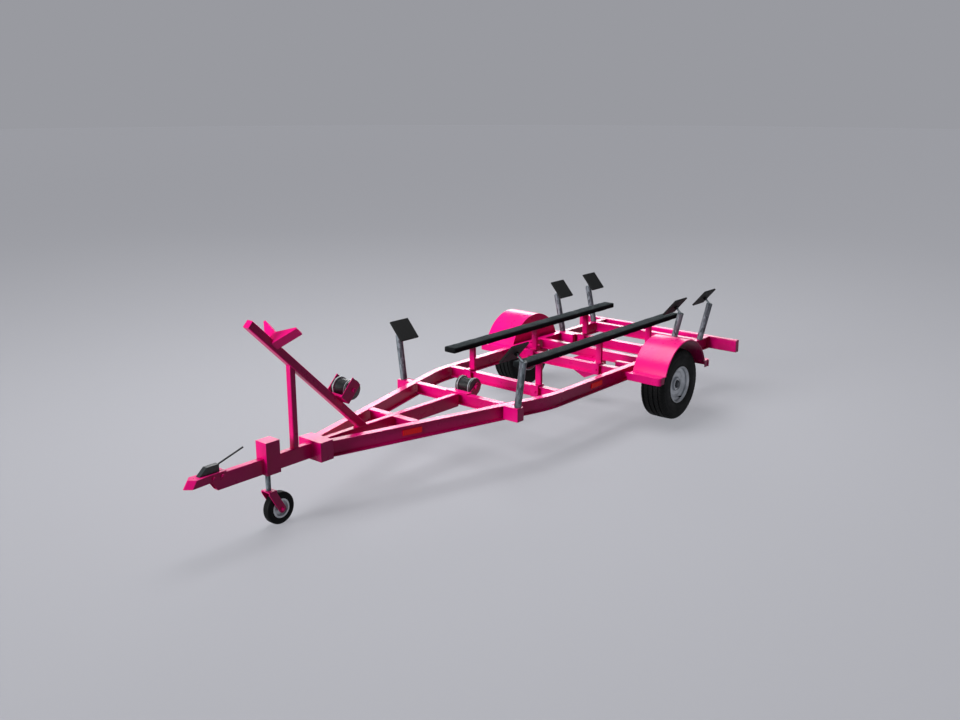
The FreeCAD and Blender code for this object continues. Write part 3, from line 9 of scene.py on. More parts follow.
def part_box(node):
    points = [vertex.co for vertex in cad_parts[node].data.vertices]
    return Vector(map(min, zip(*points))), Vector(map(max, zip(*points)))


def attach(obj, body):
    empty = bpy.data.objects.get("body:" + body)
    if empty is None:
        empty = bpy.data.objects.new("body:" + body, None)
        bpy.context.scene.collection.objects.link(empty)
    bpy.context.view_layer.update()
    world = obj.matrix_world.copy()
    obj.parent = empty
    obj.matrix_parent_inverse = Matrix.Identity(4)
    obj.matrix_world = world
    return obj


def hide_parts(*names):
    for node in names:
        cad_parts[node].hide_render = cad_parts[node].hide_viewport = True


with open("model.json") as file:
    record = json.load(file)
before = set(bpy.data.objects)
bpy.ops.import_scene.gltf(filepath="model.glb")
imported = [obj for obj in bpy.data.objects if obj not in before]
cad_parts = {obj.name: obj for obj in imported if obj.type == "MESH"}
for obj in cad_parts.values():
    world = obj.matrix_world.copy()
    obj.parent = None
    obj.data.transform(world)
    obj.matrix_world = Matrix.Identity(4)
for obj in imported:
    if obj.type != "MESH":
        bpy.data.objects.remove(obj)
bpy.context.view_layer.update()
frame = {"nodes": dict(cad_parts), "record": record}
scene = bpy.context.scene
scene.view_settings.view_transform = "Standard"


# Studio: the trailer stands on a plain pale floor of matt paper that runs on past the view.
# Soft lamps hang overhead, far ahead and behind to the right, so tops are light and the left is dark.
# The camera stands ahead and to the left, about 2.3 m above the floor.
def linear(colour):
    """An sRGB hex colour as the linear colour that a socket takes."""
    parts = [int(colour[place:place + 2], 16) / 255 for place in (1, 3, 5)]
    return [c / 12.92 if c <= 0.04045 else ((c + 0.055) / 1.055) ** 2.4 for c in parts] + [1.0]


def finish(name, colour, roughness, metallic=0.0, **sockets):
    """A new material and its shader, with constant values on the shader's own sockets."""
    material = bpy.data.materials.new(name)
    material.use_nodes = True
    shader = material.node_tree.nodes["Principled BSDF"]
    shader.inputs["Base Color"].default_value = linear(colour)
    shader.inputs["Roughness"].default_value = roughness
    shader.inputs["Metallic"].default_value = metallic
    for name_of, value in sockets.items():
        shader.inputs[name_of.replace("_", " ")].default_value = value
    return material, shader


def node(owner, kind, settings=None, feeds=None, into=()):
    """Adds a node to a material or the world.

    settings are its properties, feeds its inputs, and into the sockets that its first output feeds.
    """
    tree = owner.node_tree
    made = tree.nodes.new("ShaderNode" + kind)
    for key, value in (settings or {}).items():
        setattr(made, key, value)
    for key, value in (feeds or {}).items():
        if isinstance(value, bpy.types.NodeSocket):
            tree.links.new(value, made.inputs[key])
        else:
            made.inputs[key].default_value = value
    for socket in into:
        tree.links.new(made.outputs[0], socket)
    return made


def mesh_piece(name, shape, material, smooth=False):
    """Turns a bmesh into an object with one material."""
    bmesh.ops.recalc_face_normals(shape, faces=shape.faces)
    mesh = bpy.data.meshes.new(name)
    shape.to_mesh(mesh)
    shape.free()
    mesh.materials.append(material)
    if smooth:
        mesh.shade_smooth()
    made = bpy.data.objects.new(name, mesh)
    scene.collection.objects.link(made)
    return made


FLOOR_RADIUS = 60.0
LENS = 38.17
FILM_WIDTH = 36.0
CAMERA_PLACE = (5.006, 4.239, 2.348)
CAMERA_BACK = Vector((0.7378, 0.6233, 0.2594))

# Matt paper has no shine. What the camera and gloss see of it glows a little, so that it is pale
# without more light on the trailer.
studio_paper, paper_shader = finish("studio_paper", "#6a6a6e", 0.95, Specular_IOR_Level=0.1)
paper_rays = node(studio_paper, "LightPath")
paper_seen = node(studio_paper, "Math", {"operation": "MAXIMUM"}, {
    0: paper_rays.outputs["Is Camera Ray"], 1: paper_rays.outputs["Is Glossy Ray"]})
paper_glow = node(studio_paper, "Emission", feeds={"Color": linear("#97989e"), "Strength": 1.0})
paper_both = node(studio_paper, "AddShader", feeds={0: paper_shader.outputs[0], 1: paper_glow.outputs[0]})
node(studio_paper, "MixShader", feeds={
    0: paper_seen.outputs[0], 1: paper_shader.outputs[0], 2: paper_both.outputs[0]},
    into=[studio_paper.node_tree.nodes["Material Output"].inputs["Surface"]])
floor_shape = bmesh.new()
bmesh.ops.create_circle(floor_shape, cap_ends=True, segments=96, radius=FLOOR_RADIUS)
floor = mesh_piece("studio_floor", floor_shape, studio_paper)

studio_air = bpy.data.worlds.new("studio_air")
scene.world = studio_air
studio_air.use_nodes = True
air_light = studio_air.node_tree.nodes["Background"]
air_light.inputs["Color"].default_value = linear("#f4f5f8")
air_light.inputs["Strength"].default_value = 0.05
backdrop = node(studio_air, "Background", feeds={"Color": linear("#999aa0"), "Strength": 1.0})
air_rays = node(studio_air, "LightPath")
air_seen = node(studio_air, "Math", {"operation": "MAXIMUM"}, {
    0: air_rays.outputs["Is Camera Ray"], 1: air_rays.outputs["Is Glossy Ray"]})
node(studio_air, "MixShader", feeds={
    0: air_seen.outputs[0], 1: air_light.outputs[0], 2: backdrop.outputs[0]},
    into=[studio_air.node_tree.nodes["World Output"].inputs["Surface"]])


def soft_lamp(name, place, aim, size, watts, spread=180):
    """A soft box at place, turned to aim; spread is the angle of its beam in degrees."""
    data = bpy.data.lights.new(name, "AREA")
    data.shape = "RECTANGLE"
    data.size, data.size_y = size
    data.energy = watts
    data.spread = math.radians(spread)
    lamp = bpy.data.objects.new(name, data)
    lamp.location = place
    lamp.rotation_euler = (Vector(place) - Vector(aim)).to_track_quat("Z", "Y").to_euler()
    lamp.visible_camera = False
    scene.collection.objects.link(lamp)


soft_lamp("overhead_lamp", (-0.3, -1.2, 5.2), (-0.2, 0, 0), (4.4, 2.6), 330)
soft_lamp("front_lamp", (24.0, -5.0, 7.6), (0, 0, 0.4), (11.0, 9.0), 860, 60)
soft_lamp("low_rear_lamp", (-11.0, -9.6, 4.4), (0, 0, 0.4), (12.0, 3.2), 75, 45)

camera_data = bpy.data.cameras.new("photo_camera")
camera_data.lens = LENS
camera_data.sensor_width = FILM_WIDTH
camera = bpy.data.objects.new("photo_camera", camera_data)
camera.location = CAMERA_PLACE
camera.rotation_euler = CAMERA_BACK.to_track_quat("Z", "Y").to_euler()
scene.collection.objects.link(camera)
scene.camera = camera


# Frame paint: every welded steel section is sprayed with one thick coat of hot pink gloss enamel.
# Enamel dries to a hard glossy skin of even colour, with a faint orange peel from the spray.
# The steel's arrises are eased by the coat, which shows as a light line along each edge.
EDGE_EASE = 0.0012
SAME_POINT = 0.00002
SHARP_CORNER = math.radians(50)
ROUND_NODES = ("fender_left", "fender_right", "jockey_fork", "axle_beam")


def per_metre(millimetres):
    """How often a pattern repeats in a metre, from its size in millimetres."""
    return 1000 / millimetres


def dress(names, material):
    """Gives the named solids their finish."""
    for name in names:
        for place in frame["nodes"][name].material_slots:
            place.material = material


sprayed_enamel, enamel_shader = finish("sprayed_enamel", "#dc0074", 0.3, IOR=1.5, Specular_IOR_Level=0.25)
enamel_place = node(sprayed_enamel, "TexCoord")
# The coat varies over a hand's sweep of the gun, and its gloss where dust has settled in it.
enamel_cloud = node(sprayed_enamel, "TexNoise", feeds={
    "Vector": enamel_place.outputs["Object"], "Scale": per_metre(312.5), "Detail": 4.0, "Roughness": 0.55})
enamel_tone = node(sprayed_enamel, "ValToRGB", feeds={"Fac": enamel_cloud.outputs["Fac"]},
                   into=[enamel_shader.inputs["Base Color"]])
enamel_tone.color_ramp.elements[0].position = 0.3
enamel_tone.color_ramp.elements[0].color = linear("#d4006c")
enamel_tone.color_ramp.elements[1].position = 0.7
enamel_tone.color_ramp.elements[1].color = linear("#e4007b")
enamel_dust = node(sprayed_enamel, "TexNoise", feeds={
    "Vector": enamel_place.outputs["Object"], "Scale": per_metre(56), "Detail": 6.0, "Roughness": 0.65})
node(sprayed_enamel, "MapRange", feeds={
    "Value": enamel_dust.outputs["Fac"], "From Min": 0.3, "From Max": 0.75,
    "To Min": 0.26, "To Max": 0.34}, into=[enamel_shader.inputs["Roughness"]])
# Real orange peel is 1 to 2 mm across. It is drawn at 4 mm, to show at all.
enamel_peel = node(sprayed_enamel, "TexNoise", feeds={
    "Vector": enamel_place.outputs["Object"], "Scale": per_metre(4), "Detail": 1.0})
node(sprayed_enamel, "Bump", feeds={
    "Height": enamel_peel.outputs["Fac"], "Strength": 0.05, "Distance": 0.0005},
    into=[enamel_shader.inputs["Normal"]])

painted = [row["node"] for row in frame["record"]["subparts"] if row["material_slot"] == "pink_paint"]
dress(painted, sprayed_enamel)
for name in painted:
    if name in ROUND_NODES:
        continue
    joined = frame["nodes"][name].modifiers.new("joined_corners", "WELD")
    joined.merge_threshold = SAME_POINT
    eased = frame["nodes"][name].modifiers.new("eased_edges", "BEVEL")
    eased.width = EDGE_EASE
    eased.segments = 2
    eased.limit_method = "ANGLE"
    eased.angle_limit = SHARP_CORNER
    eased.use_clamp_overlap = True


# Weld seams: each cross member, box and bracket is held by short beads of weld, painted over.
# A bead is a half round about 6 mm wide whose surface is a row of small overlapping ripples.
BEAD_RADIUS = 0.0032
BEAD_PITCH = 0.0034
BEAD_SIDES = 8
# The bead between two ripples and at its tips, as a share of its radius.
BEAD_DIP = 0.8
BEAD_TIP = 0.35
FRAME_TOP = 0.409
BEND_X = -0.125
RAIL_Y = 0.492
RAIL_SLOPE = (RAIL_Y - 0.059) / 1.511
FLANGE_HALF = 0.024
FLANGE_HALF_SLANTED = 0.025
MEMBER_X = (0.817, 0.205, -0.256, -0.981, -1.342, -1.658, -2.110)
MEMBER_EDGE = 0.0245
MEMBER_TOP_EDGE = 0.021
MEMBER_FLANGES = ((0.340, 0.3465), (0.397, 0.4035))
MEMBER_SEAM_Z = FRAME_TOP - 0.0012
SEAM_Z = FRAME_TOP - 0.001
# Upright seams: station, distance out, lower and upper end.
UPRIGHT_SEAMS = (
    (-2.2609, 0.470, 0.320, 0.402), (-2.2609, 0.514, 0.320, 0.402),
    (1.479, 0.0212, 0.325, 0.405), (1.7225, 0.0212, 0.325, 0.405), (1.8175, 0.0212, 0.325, 0.405),
    (-1.6327, 0.4672, 0.342, 0.401), (-1.5950, 0.4672, 0.342, 0.401),
    (-1.163, 0.4672, 0.342, 0.401), (-1.125, 0.4672, 0.342, 0.401))
# Level seams: station and distance out of one end, then of the other, and height.
LEVEL_SEAMS = (
    (-2.2609, 0.471, -2.2609, 0.513, SEAM_Z),
    (1.386, 0.036, 1.386, 0.082, SEAM_Z),
    (1.572, 0.019, 1.606, 0.019, FRAME_TOP),
    (1.0500, 0.0205, 1.116, 0.0205, FRAME_TOP + 0.001))
STRUT_SEAM_X = (1.570, 1.608)
STRUT_SEAM_Y = 0.015
SOCKET_SEAM_X = (0.184, 0.246)
SOCKET_FROM_RAIL = 0.026
SOCKET_OUT_Y = 0.521


def bead(shape, start, end):
    """One seam of ripples from start to end."""
    start, end = Vector(start), Vector(end)
    along = end - start
    count = max(4, round(along.length / BEAD_PITCH) * 2)
    turn = along.to_track_quat("Z", "Y").to_matrix()
    rings = []
    for step in range(count + 1):
        swell = 1.0 if step % 2 else BEAD_DIP
        if step in (0, count):
            swell = BEAD_TIP
        middle = start + along * (step / count)
        rings.append([shape.verts.new(middle + turn @ Vector((
            math.cos(math.tau * k / BEAD_SIDES) * BEAD_RADIUS * swell,
            math.sin(math.tau * k / BEAD_SIDES) * BEAD_RADIUS * swell, 0))) for k in range(BEAD_SIDES)])
    for back, front in zip(rings, rings[1:]):
        for k in range(BEAD_SIDES):
            after = (k + 1) % BEAD_SIDES
            shape.faces.new((back[k], back[after], front[after], front[k]))
    shape.faces.new(rings[0])
    shape.faces.new(rings[-1])


def rail_y(x):
    """Distance out of the rail's middle line at x."""
    return RAIL_Y - max(0.0, x - BEND_X) * RAIL_SLOPE


def rail_inner_y(x):
    """Distance out of the inner edge of the rail's flange at x."""
    return rail_y(x) - (FLANGE_HALF if x < BEND_X else FLANGE_HALF_SLANTED)


weld_shape = bmesh.new()
for side in (1, -1):
    for middle_x in MEMBER_X:
        for x in (middle_x - MEMBER_EDGE, middle_x + MEMBER_EDGE):
            for low, high in MEMBER_FLANGES:
                bead(weld_shape, (x, side * rail_inner_y(x), low), (x, side * rail_inner_y(x), high))
        ends = [(x, side * rail_inner_y(x), MEMBER_SEAM_Z)
                for x in (middle_x - MEMBER_TOP_EDGE, middle_x + MEMBER_TOP_EDGE)]
        bead(weld_shape, *ends)
    for x, y, low, high in UPRIGHT_SEAMS:
        bead(weld_shape, (x, side * y, low), (x, side * y, high))
    for x, y, end_x, end_y, z in LEVEL_SEAMS:
        bead(weld_shape, (x, side * y, z), (end_x, side * end_y, z))
    for x in SOCKET_SEAM_X:
        bead(weld_shape, (x, side * (rail_y(x) + SOCKET_FROM_RAIL), SEAM_Z),
             (x, side * SOCKET_OUT_Y, SEAM_Z))
for x in STRUT_SEAM_X:
    bead(weld_shape, (x, -STRUT_SEAM_Y, FRAME_TOP), (x, STRUT_SEAM_Y, FRAME_TOP))
weld_beads = mesh_piece("weld_beads", weld_shape, sprayed_enamel, smooth=True)
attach(weld_beads, "frame")


# Step corners: a quarter ring of sheet is welded into each fender step's outer corner.
# It is dressed flush with the flanges on both sides of it and sprayed with the fender.
AXLE_X = -1.345
FENDER_OUT_Y = 0.816
STEP_END = 0.366
STEP_CORNER = 0.026
STEP_SHEET = 0.004
STRIP_LOW, STRIP_TOP = 0.3341, 0.384
STRIP_SUNK = 0.0002
STRIP_FACETS = 12

corner_shape = bmesh.new()
for side in (1, -1):
    for end in (1, -1):
        middle = Vector((AXLE_X + end * (STEP_END - STEP_CORNER), side * (FENDER_OUT_Y - STEP_CORNER), 0))
        walls = []
        for k in range(STRIP_FACETS + 1):
            angle = math.radians(90 * k / STRIP_FACETS)
            way = Vector((end * math.cos(angle), side * math.sin(angle), 0))
            outer = middle + way * (STEP_CORNER - STRIP_SUNK)
            inner = middle + way * (STEP_CORNER - STEP_SHEET)
            walls.append([corner_shape.verts.new((spot.x, spot.y, height)) for spot, height in (
                (outer, STRIP_LOW), (outer, STRIP_TOP), (inner, STRIP_TOP), (inner, STRIP_LOW))])
        for here, ahead in zip(walls, walls[1:]):
            for k in range(4):
                after = (k + 1) % 4
                corner_shape.faces.new((here[k], here[after], ahead[after], ahead[k]))
        corner_shape.faces.new(walls[0])
        corner_shape.faces.new(walls[-1])
step_corners = mesh_piece("step_corners", corner_shape, sprayed_enamel, smooth=True)
step_corners.data.set_sharp_from_angle(angle=math.radians(35))
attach(step_corners, "frame")


# End caps: plates welded into the bow post's upper end and the rear beam's two ends.
# They are ground flush with the tubes and sprayed with them.
POST_ANGLE = math.radians(44.23)
POST_FOOT_X = 1.083
POST_LENGTH = 1.076
POST_INSIDE = (0.0402, 0.0402)
POST_CORNER = 0.004
BEAM_MIDDLE = Vector((-2.286, 0.0, 0.3605))
BEAM_END_Y = 0.748
BEAM_INSIDE = (0.0424, 0.0894)
BEAM_CORNER = 0.002
CAP_SUNK = 0.0004
CAP_THICK = 0.004


def plate_in_tube(shape, middle, out, size, corner):
    """A flat plate with round corners, its outer face at middle, looking along out."""
    turn = Vector(out).to_track_quat("X", "Z").to_matrix()
    rim = rounded_outline(*size, corner)
    faces = []
    for back in (0.0, CAP_THICK):
        faces.append([shape.verts.new(middle + turn @ Vector((-back, a, b))) for a, b in rim])
    for k in range(len(rim)):
        after = (k + 1) % len(rim)
        shape.faces.new((faces[0][k], faces[0][after], faces[1][after], faces[1][k]))
    shape.faces.new(faces[0])
    shape.faces.new(faces[1])


def rounded_outline(width, height, corner):
    """Points round a rectangle with round corners."""
    facets = 5
    points = []
    for middle_x, middle_y, first in ((width / 2 - corner, height / 2 - corner, 0),
                                      (-width / 2 + corner, height / 2 - corner, 90),
                                      (-width / 2 + corner, -height / 2 + corner, 180),
                                      (width / 2 - corner, -height / 2 + corner, 270)):
        for k in range(facets + 1):
            angle = math.radians(first + 90 * k / facets)
            points.append((middle_x + math.cos(angle) * corner, middle_y + math.sin(angle) * corner))
    return points


post_cap_shape = bmesh.new()
post_way = Vector((math.cos(POST_ANGLE), 0, math.sin(POST_ANGLE)))
plate_in_tube(post_cap_shape, Vector((POST_FOOT_X, 0, FRAME_TOP)) + post_way * (POST_LENGTH - CAP_SUNK),
              post_way, POST_INSIDE, POST_CORNER)
post_cap = mesh_piece("post_cap", post_cap_shape, sprayed_enamel)
beam_cap_shape = bmesh.new()
for side in (1, -1):
    plate_in_tube(beam_cap_shape, BEAM_MIDDLE + Vector((0, side * (BEAM_END_Y - CAP_SUNK), 0)),
                  (0, side, 0), BEAM_INSIDE, BEAM_CORNER)
beam_caps = mesh_piece("beam_caps", beam_cap_shape, sprayed_enamel)
for cap in (post_cap, beam_caps):
    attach(cap, "frame")


# Road tyres: radial trailer tyres of black rubber, moulded with four grooves round the tread.
# Sipes cross the ribs and slots cut the shoulders; thin moulded rings run round the sidewalls.
# Moulded rubber is near black and dull, with a fine grain that dust greys a little.
TYRE_MIDDLE_Y = 0.683
AXLE_Z = 0.260
PITCHES = 60
STEPS_PER_PITCH = 6
GROOVE_DEEP = 0.0075
TREAD_SHARP = 38
# Cuts across the tread, by kind: how deep, and the steps that they take on the outer and inner half.
PLAIN, SIPE, SLOT, NOTCH = range(4)
CUTS = {
    PLAIN: (0.0, (), ()),
    SIPE: (0.0035, (2,), (5,)),
    SLOT: (0.0050, (0,), (3,)),
    NOTCH: (0.0025, (1, 4), (1, 4))}

moulded_rubber, rubber_shader = finish("moulded_tyre_rubber", "#0b0c0d", 0.58, IOR=1.52,
                                       Specular_IOR_Level=0.12)
rubber_place = node(moulded_rubber, "TexCoord")
rubber_dust = node(moulded_rubber, "TexNoise", feeds={
    "Vector": rubber_place.outputs["Object"], "Scale": per_metre(38), "Detail": 5.0, "Roughness": 0.6})
rubber_tone = node(moulded_rubber, "ValToRGB", feeds={"Fac": rubber_dust.outputs["Fac"]},
                   into=[rubber_shader.inputs["Base Color"]])
rubber_tone.color_ramp.elements[0].position = 0.35
rubber_tone.color_ramp.elements[0].color = linear("#060707")
rubber_tone.color_ramp.elements[1].position = 0.8
rubber_tone.color_ramp.elements[1].color = linear("#101112")
node(moulded_rubber, "MapRange", feeds={
    "Value": rubber_dust.outputs["Fac"], "From Min": 0.3, "From Max": 0.8,
    "To Min": 0.52, "To Max": 0.74}, into=[rubber_shader.inputs["Roughness"]])
# The mould's grain is about 0.5 mm. It is drawn at 1.5 mm, to show near by.
rubber_skin = node(moulded_rubber, "TexNoise", feeds={
    "Vector": rubber_place.outputs["Object"], "Scale": per_metre(1.5), "Detail": 2.0})
node(moulded_rubber, "Bump", feeds={
    "Height": rubber_skin.outputs["Fac"], "Strength": 0.18, "Distance": 0.0004},
    into=[rubber_shader.inputs["Normal"]])


def tread_line():
    """The tyre's section, round from bead to bead: across, radius, and the kind of cut there."""
    half = [(0.0777, 0.1243, PLAIN), (0.0777, 0.1343, PLAIN), (0.0868, 0.1346, PLAIN),
            (0.0898, 0.1375, PLAIN), (0.0912, 0.1450, PLAIN), (0.0900, 0.1480, PLAIN),
            (0.0912, 0.1512, PLAIN), (0.0930, 0.1700, PLAIN), (0.0939, 0.1900, PLAIN),
            (0.0938, 0.2060, PLAIN), (0.0928, 0.2090, PLAIN), (0.0936, 0.2120, PLAIN),
            (0.0926, 0.2250, PLAIN), (0.0916, 0.2290, SLOT), (0.0902, 0.2350, SLOT),
            (0.0880, 0.2420, SLOT), (0.0848, 0.2486, SLOT), (0.0800, 0.2540, SLOT),
            (0.0740, 0.2572, SLOT), (0.0690, 0.2583, PLAIN), (0.0650, 0.2586, PLAIN),
            (0.0642, 0.2586 - GROOVE_DEEP, PLAIN), (0.0560, 0.2590 - GROOVE_DEEP, PLAIN),
            (0.0552, 0.2590, PLAIN), (0.0515, 0.2591, PLAIN), (0.0480, 0.2592, SIPE),
            (0.0400, 0.2594, SIPE), (0.0330, 0.2596, SIPE), (0.0290, 0.2597, PLAIN),
            (0.0250, 0.2598, PLAIN), (0.0240, 0.2598 - GROOVE_DEEP, PLAIN),
            (0.0150, 0.2598 - GROOVE_DEEP, PLAIN), (0.0140, 0.2599, PLAIN),
            (0.0105, 0.2600, NOTCH), (0.0050, 0.2600, NOTCH)]
    far_half = [(-across, radius, kind) for across, radius, kind in reversed(half)]
    return half + [(0.0, 0.2600, NOTCH)] + far_half


def treaded_tyre(name, side):
    """The section turned round the axle, with the cuts pressed into it step by step."""
    shape = bmesh.new()
    line = tread_line()
    count = PITCHES * STEPS_PER_PITCH
    rings = []
    for step in range(count):
        angle = math.tau * step / count
        ring = []
        for across, radius, kind in line:
            deep, outer_steps, inner_steps = CUTS[kind]
            if step % STEPS_PER_PITCH in (outer_steps if across > 0 else inner_steps):
                radius -= deep
            ring.append(shape.verts.new((AXLE_X + math.cos(angle) * radius,
                                         side * TYRE_MIDDLE_Y + across,
                                         AXLE_Z + math.sin(angle) * radius)))
        rings.append(ring)
    for here, ahead in zip(rings, rings[1:] + rings[:1]):
        for k in range(len(line)):
            after = (k + 1) % len(line)
            shape.faces.new((here[k], here[after], ahead[after], ahead[k]))
    tyre = mesh_piece(name, shape, moulded_rubber, smooth=True)
    tyre.data.set_sharp_from_angle(angle=math.radians(TREAD_SHARP))
    return tyre


for label, side in (("left", 1), ("right", -1)):
    tyre = treaded_tyre("road_tyre_" + label, side)
    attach(tyre, "wheel_" + label)
    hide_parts("tyre_" + label)


# Road rims: two steel pressings, rim and disc, welded and sprayed silver, on a cast hub.
# Silver wheel paint is fine metal flake in clear lacquer; the hub's dark zinc plate is near black.
# A pressed cover hides the wheel nuts, a bead stiffens the disc, and a rubber valve stands in it.
DISC_FACE = 0.0601
VALVE_X = 0.0380
VALVE_Y = 0.7484
VALVE_DROP = 0.1045
VALVE_LEAN = (0.12, 0.94, 0.33)

silver_lacquer, lacquer_shader = finish("silver_wheel_lacquer", "#c6cacf", 0.36, 0.6,
                                        Coat_Weight=0.35, Coat_Roughness=0.22)
lacquer_place = node(silver_lacquer, "TexCoord")
# Real flakes are a tenth of a millimetre. They are drawn at 1.2 mm, to show near by.
lacquer_flake = node(silver_lacquer, "TexVoronoi", feeds={
    "Vector": lacquer_place.outputs["Object"], "Scale": per_metre(1.2)})
lacquer_cloud = node(silver_lacquer, "TexNoise", feeds={
    "Vector": lacquer_place.outputs["Object"], "Scale": per_metre(45), "Detail": 4.0})
lacquer_tone = node(silver_lacquer, "ValToRGB", feeds={"Fac": lacquer_cloud.outputs["Fac"]},
                    into=[lacquer_shader.inputs["Base Color"]])
lacquer_tone.color_ramp.elements[0].position = 0.3
lacquer_tone.color_ramp.elements[0].color = linear("#b4b9be")
lacquer_tone.color_ramp.elements[1].position = 0.7
lacquer_tone.color_ramp.elements[1].color = linear("#d8dce0")
node(silver_lacquer, "MapRange", feeds={
    "Value": lacquer_cloud.outputs["Fac"], "From Min": 0.3, "From Max": 0.7,
    "To Min": 0.3, "To Max": 0.44}, into=[lacquer_shader.inputs["Roughness"]])
node(silver_lacquer, "Bump", feeds={
    "Height": lacquer_flake.outputs["Distance"], "Strength": 0.04, "Distance": 0.0003},
    into=[lacquer_shader.inputs["Normal"]])

dark_zinc, zinc_shader = finish("dark_zinc_plate", "#43484c", 0.33, 1.0)
zinc_place = node(dark_zinc, "TexCoord")
zinc_cloud = node(dark_zinc, "TexNoise", feeds={
    "Vector": zinc_place.outputs["Object"], "Scale": per_metre(17), "Detail": 5.0, "Roughness": 0.6})
zinc_tone = node(dark_zinc, "ValToRGB", feeds={"Fac": zinc_cloud.outputs["Fac"]},
                 into=[zinc_shader.inputs["Base Color"]])
zinc_tone.color_ramp.elements[0].position = 0.3
zinc_tone.color_ramp.elements[0].color = linear("#2c3034")
zinc_tone.color_ramp.elements[1].position = 0.72
zinc_tone.color_ramp.elements[1].color = linear("#565b5f")
node(dark_zinc, "MapRange", feeds={
    "Value": zinc_cloud.outputs["Fac"], "From Min": 0.3, "From Max": 0.75,
    "To Min": 0.25, "To Max": 0.46}, into=[zinc_shader.inputs["Roughness"]])

dress(("rim_left", "rim_right", "jockey_rim"), silver_lacquer)
dress(("hub_left", "hub_right"), dark_zinc)


def turned(name, line, middle, material, sides, sharp=35):
    """A closed ring turned about a line along Y: line is (across, radius) round the section."""
    shape = bmesh.new()
    rings = []
    for step in range(sides):
        angle = math.tau * step / sides
        rings.append([shape.verts.new((middle.x + math.cos(angle) * radius, middle.y + across,
                                       middle.z + math.sin(angle) * radius))
                      for across, radius in line])
    for here, ahead in zip(rings, rings[1:] + rings[:1]):
        for k in range(len(line)):
            after = (k + 1) % len(line)
            shape.faces.new((here[k], here[after], ahead[after], ahead[k]))
    made = mesh_piece(name, shape, material, smooth=True)
    made.data.set_sharp_from_angle(angle=math.radians(sharp))
    return made


def tower(shape, place, turn, rings, sides):
    """A closed stack of rings: each is a radius and a height above place."""
    made = []
    for radius, height in rings:
        made.append([shape.verts.new(place + turn @ Vector((
            math.cos(math.tau * k / sides) * radius, math.sin(math.tau * k / sides) * radius,
            height))) for k in range(sides)])
    for low, high in zip(made, made[1:]):
        for k in range(sides):
            after = (k + 1) % sides
            shape.faces.new((low[k], low[after], high[after], high[k]))
    shape.faces.new(made[0])
    shape.faces.new(made[-1])


cover_line = [(0.0, 0.0520), (0.0095, 0.0520), (0.0128, 0.0506), (0.0145, 0.0478), (0.0145, 0.0446),
              (0.0128, 0.0418), (0.0090, 0.0402), (0.0060, 0.0392), (0.0052, 0.0360), (0.0052, 0.0300),
              (0.0, 0.0300)]
press_line = [(0.0, 0.0815), (0.0030, 0.0838), (0.0046, 0.0866), (0.0046, 0.0892), (0.0030, 0.0918),
              (0.0, 0.0935)]
valve_line = [(0.0055, 0.0), (0.0052, 0.004), (0.0036, 0.008), (0.0034, 0.014), (0.0042, 0.0145),
              (0.0042, 0.0205), (0.0030, 0.0220)]
for label, side in (("left", 1), ("right", -1)):
    middle = Vector((AXLE_X, side * TYRE_MIDDLE_Y, AXLE_Z))
    for name, line in (("hub_cover_", cover_line), ("disc_bead_", press_line)):
        ring = turned(name + label, [(side * (DISC_FACE + out), radius) for out, radius in line],
                      middle, silver_lacquer, sides=72)
        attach(ring, "wheel_" + label)
    valve_shape = bmesh.new()
    lean = Vector((VALVE_LEAN[0], side * VALVE_LEAN[1], VALVE_LEAN[2])).normalized()
    tower(valve_shape, Vector((AXLE_X - VALVE_X, side * VALVE_Y, AXLE_Z - VALVE_DROP)),
          lean.to_track_quat("Z", "Y").to_matrix(), valve_line, 16)
    valve_stem = mesh_piece("valve_stem_" + label, valve_shape, moulded_rubber)
    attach(valve_stem, "wheel_" + label)


# Jockey wheel: a solid rubber tyre pressed on a two part steel rim, in a fork bent from strap.
# The rubber is moulded, with a flat tread between two steps and a ring on each side.
# A bolt through fork and hub carries it, with a lock nut on the left.
CASTER = Vector((1.720, 0.0, 0.0935))
FORK_OUT_Y = 0.0360


def hex_fixing(shape, place, facing, across, height, washer, stud=0.0):
    """A six sided nut or bolt head with chamfered corners, its washer and its stud's end."""
    place, facing = Vector(place), Vector(facing)
    turn = facing.to_track_quat("Z", "Y").to_matrix()
    corner = across / 2 / math.cos(math.pi / 6)
    washer_top = 0.0016
    tower(shape, place, turn, [(washer, 0.0), (washer, washer_top), (across * 0.3, washer_top)], 20)
    top = washer_top + height
    tower(shape, place, turn, [(corner, washer_top), (corner, washer_top + height * 0.82),
                               (corner * 0.87, top), (corner * 0.45, top)], 6)
    if stud:
        tower(shape, place, turn, [(stud, top - 0.001), (stud, top + stud * 0.7),
                                   (stud * 0.75, top + stud)], 12)


caster_half_line = [(0.0172, 0.0500), (0.0172, 0.0560), (0.0232, 0.0562), (0.0240, 0.0580),
                    (0.0236, 0.0610), (0.0243, 0.0650), (0.0249, 0.0720), (0.0245, 0.0800),
                    (0.0236, 0.0850), (0.0222, 0.0885), (0.0200, 0.0912), (0.0172, 0.0930),
                    (0.0120, 0.0934), (0.0108, 0.0922), (0.0092, 0.0922), (0.0080, 0.0935),
                    (0.0014, 0.0935), (0.0008, 0.0922)]
caster_line = caster_half_line + [(-across, radius) for across, radius in reversed(caster_half_line)]
jockey_tread = turned("jockey_tread", caster_line, CASTER, moulded_rubber, sides=96)
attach(jockey_tread, "jockey_wheel")
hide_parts("jockey_tyre")

fork_fixings = bmesh.new()
for side, stud in ((1, 0.0055), (-1, 0.0)):
    hex_fixing(fork_fixings, (CASTER.x, side * FORK_OUT_Y, CASTER.z), (0, side, 0), 0.019, 0.0075,
               washer=0.0125, stud=stud)
jockey_bolts = mesh_piece("jockey_bolts", fork_fixings, sprayed_enamel)
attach(jockey_bolts, "jockey_fork")


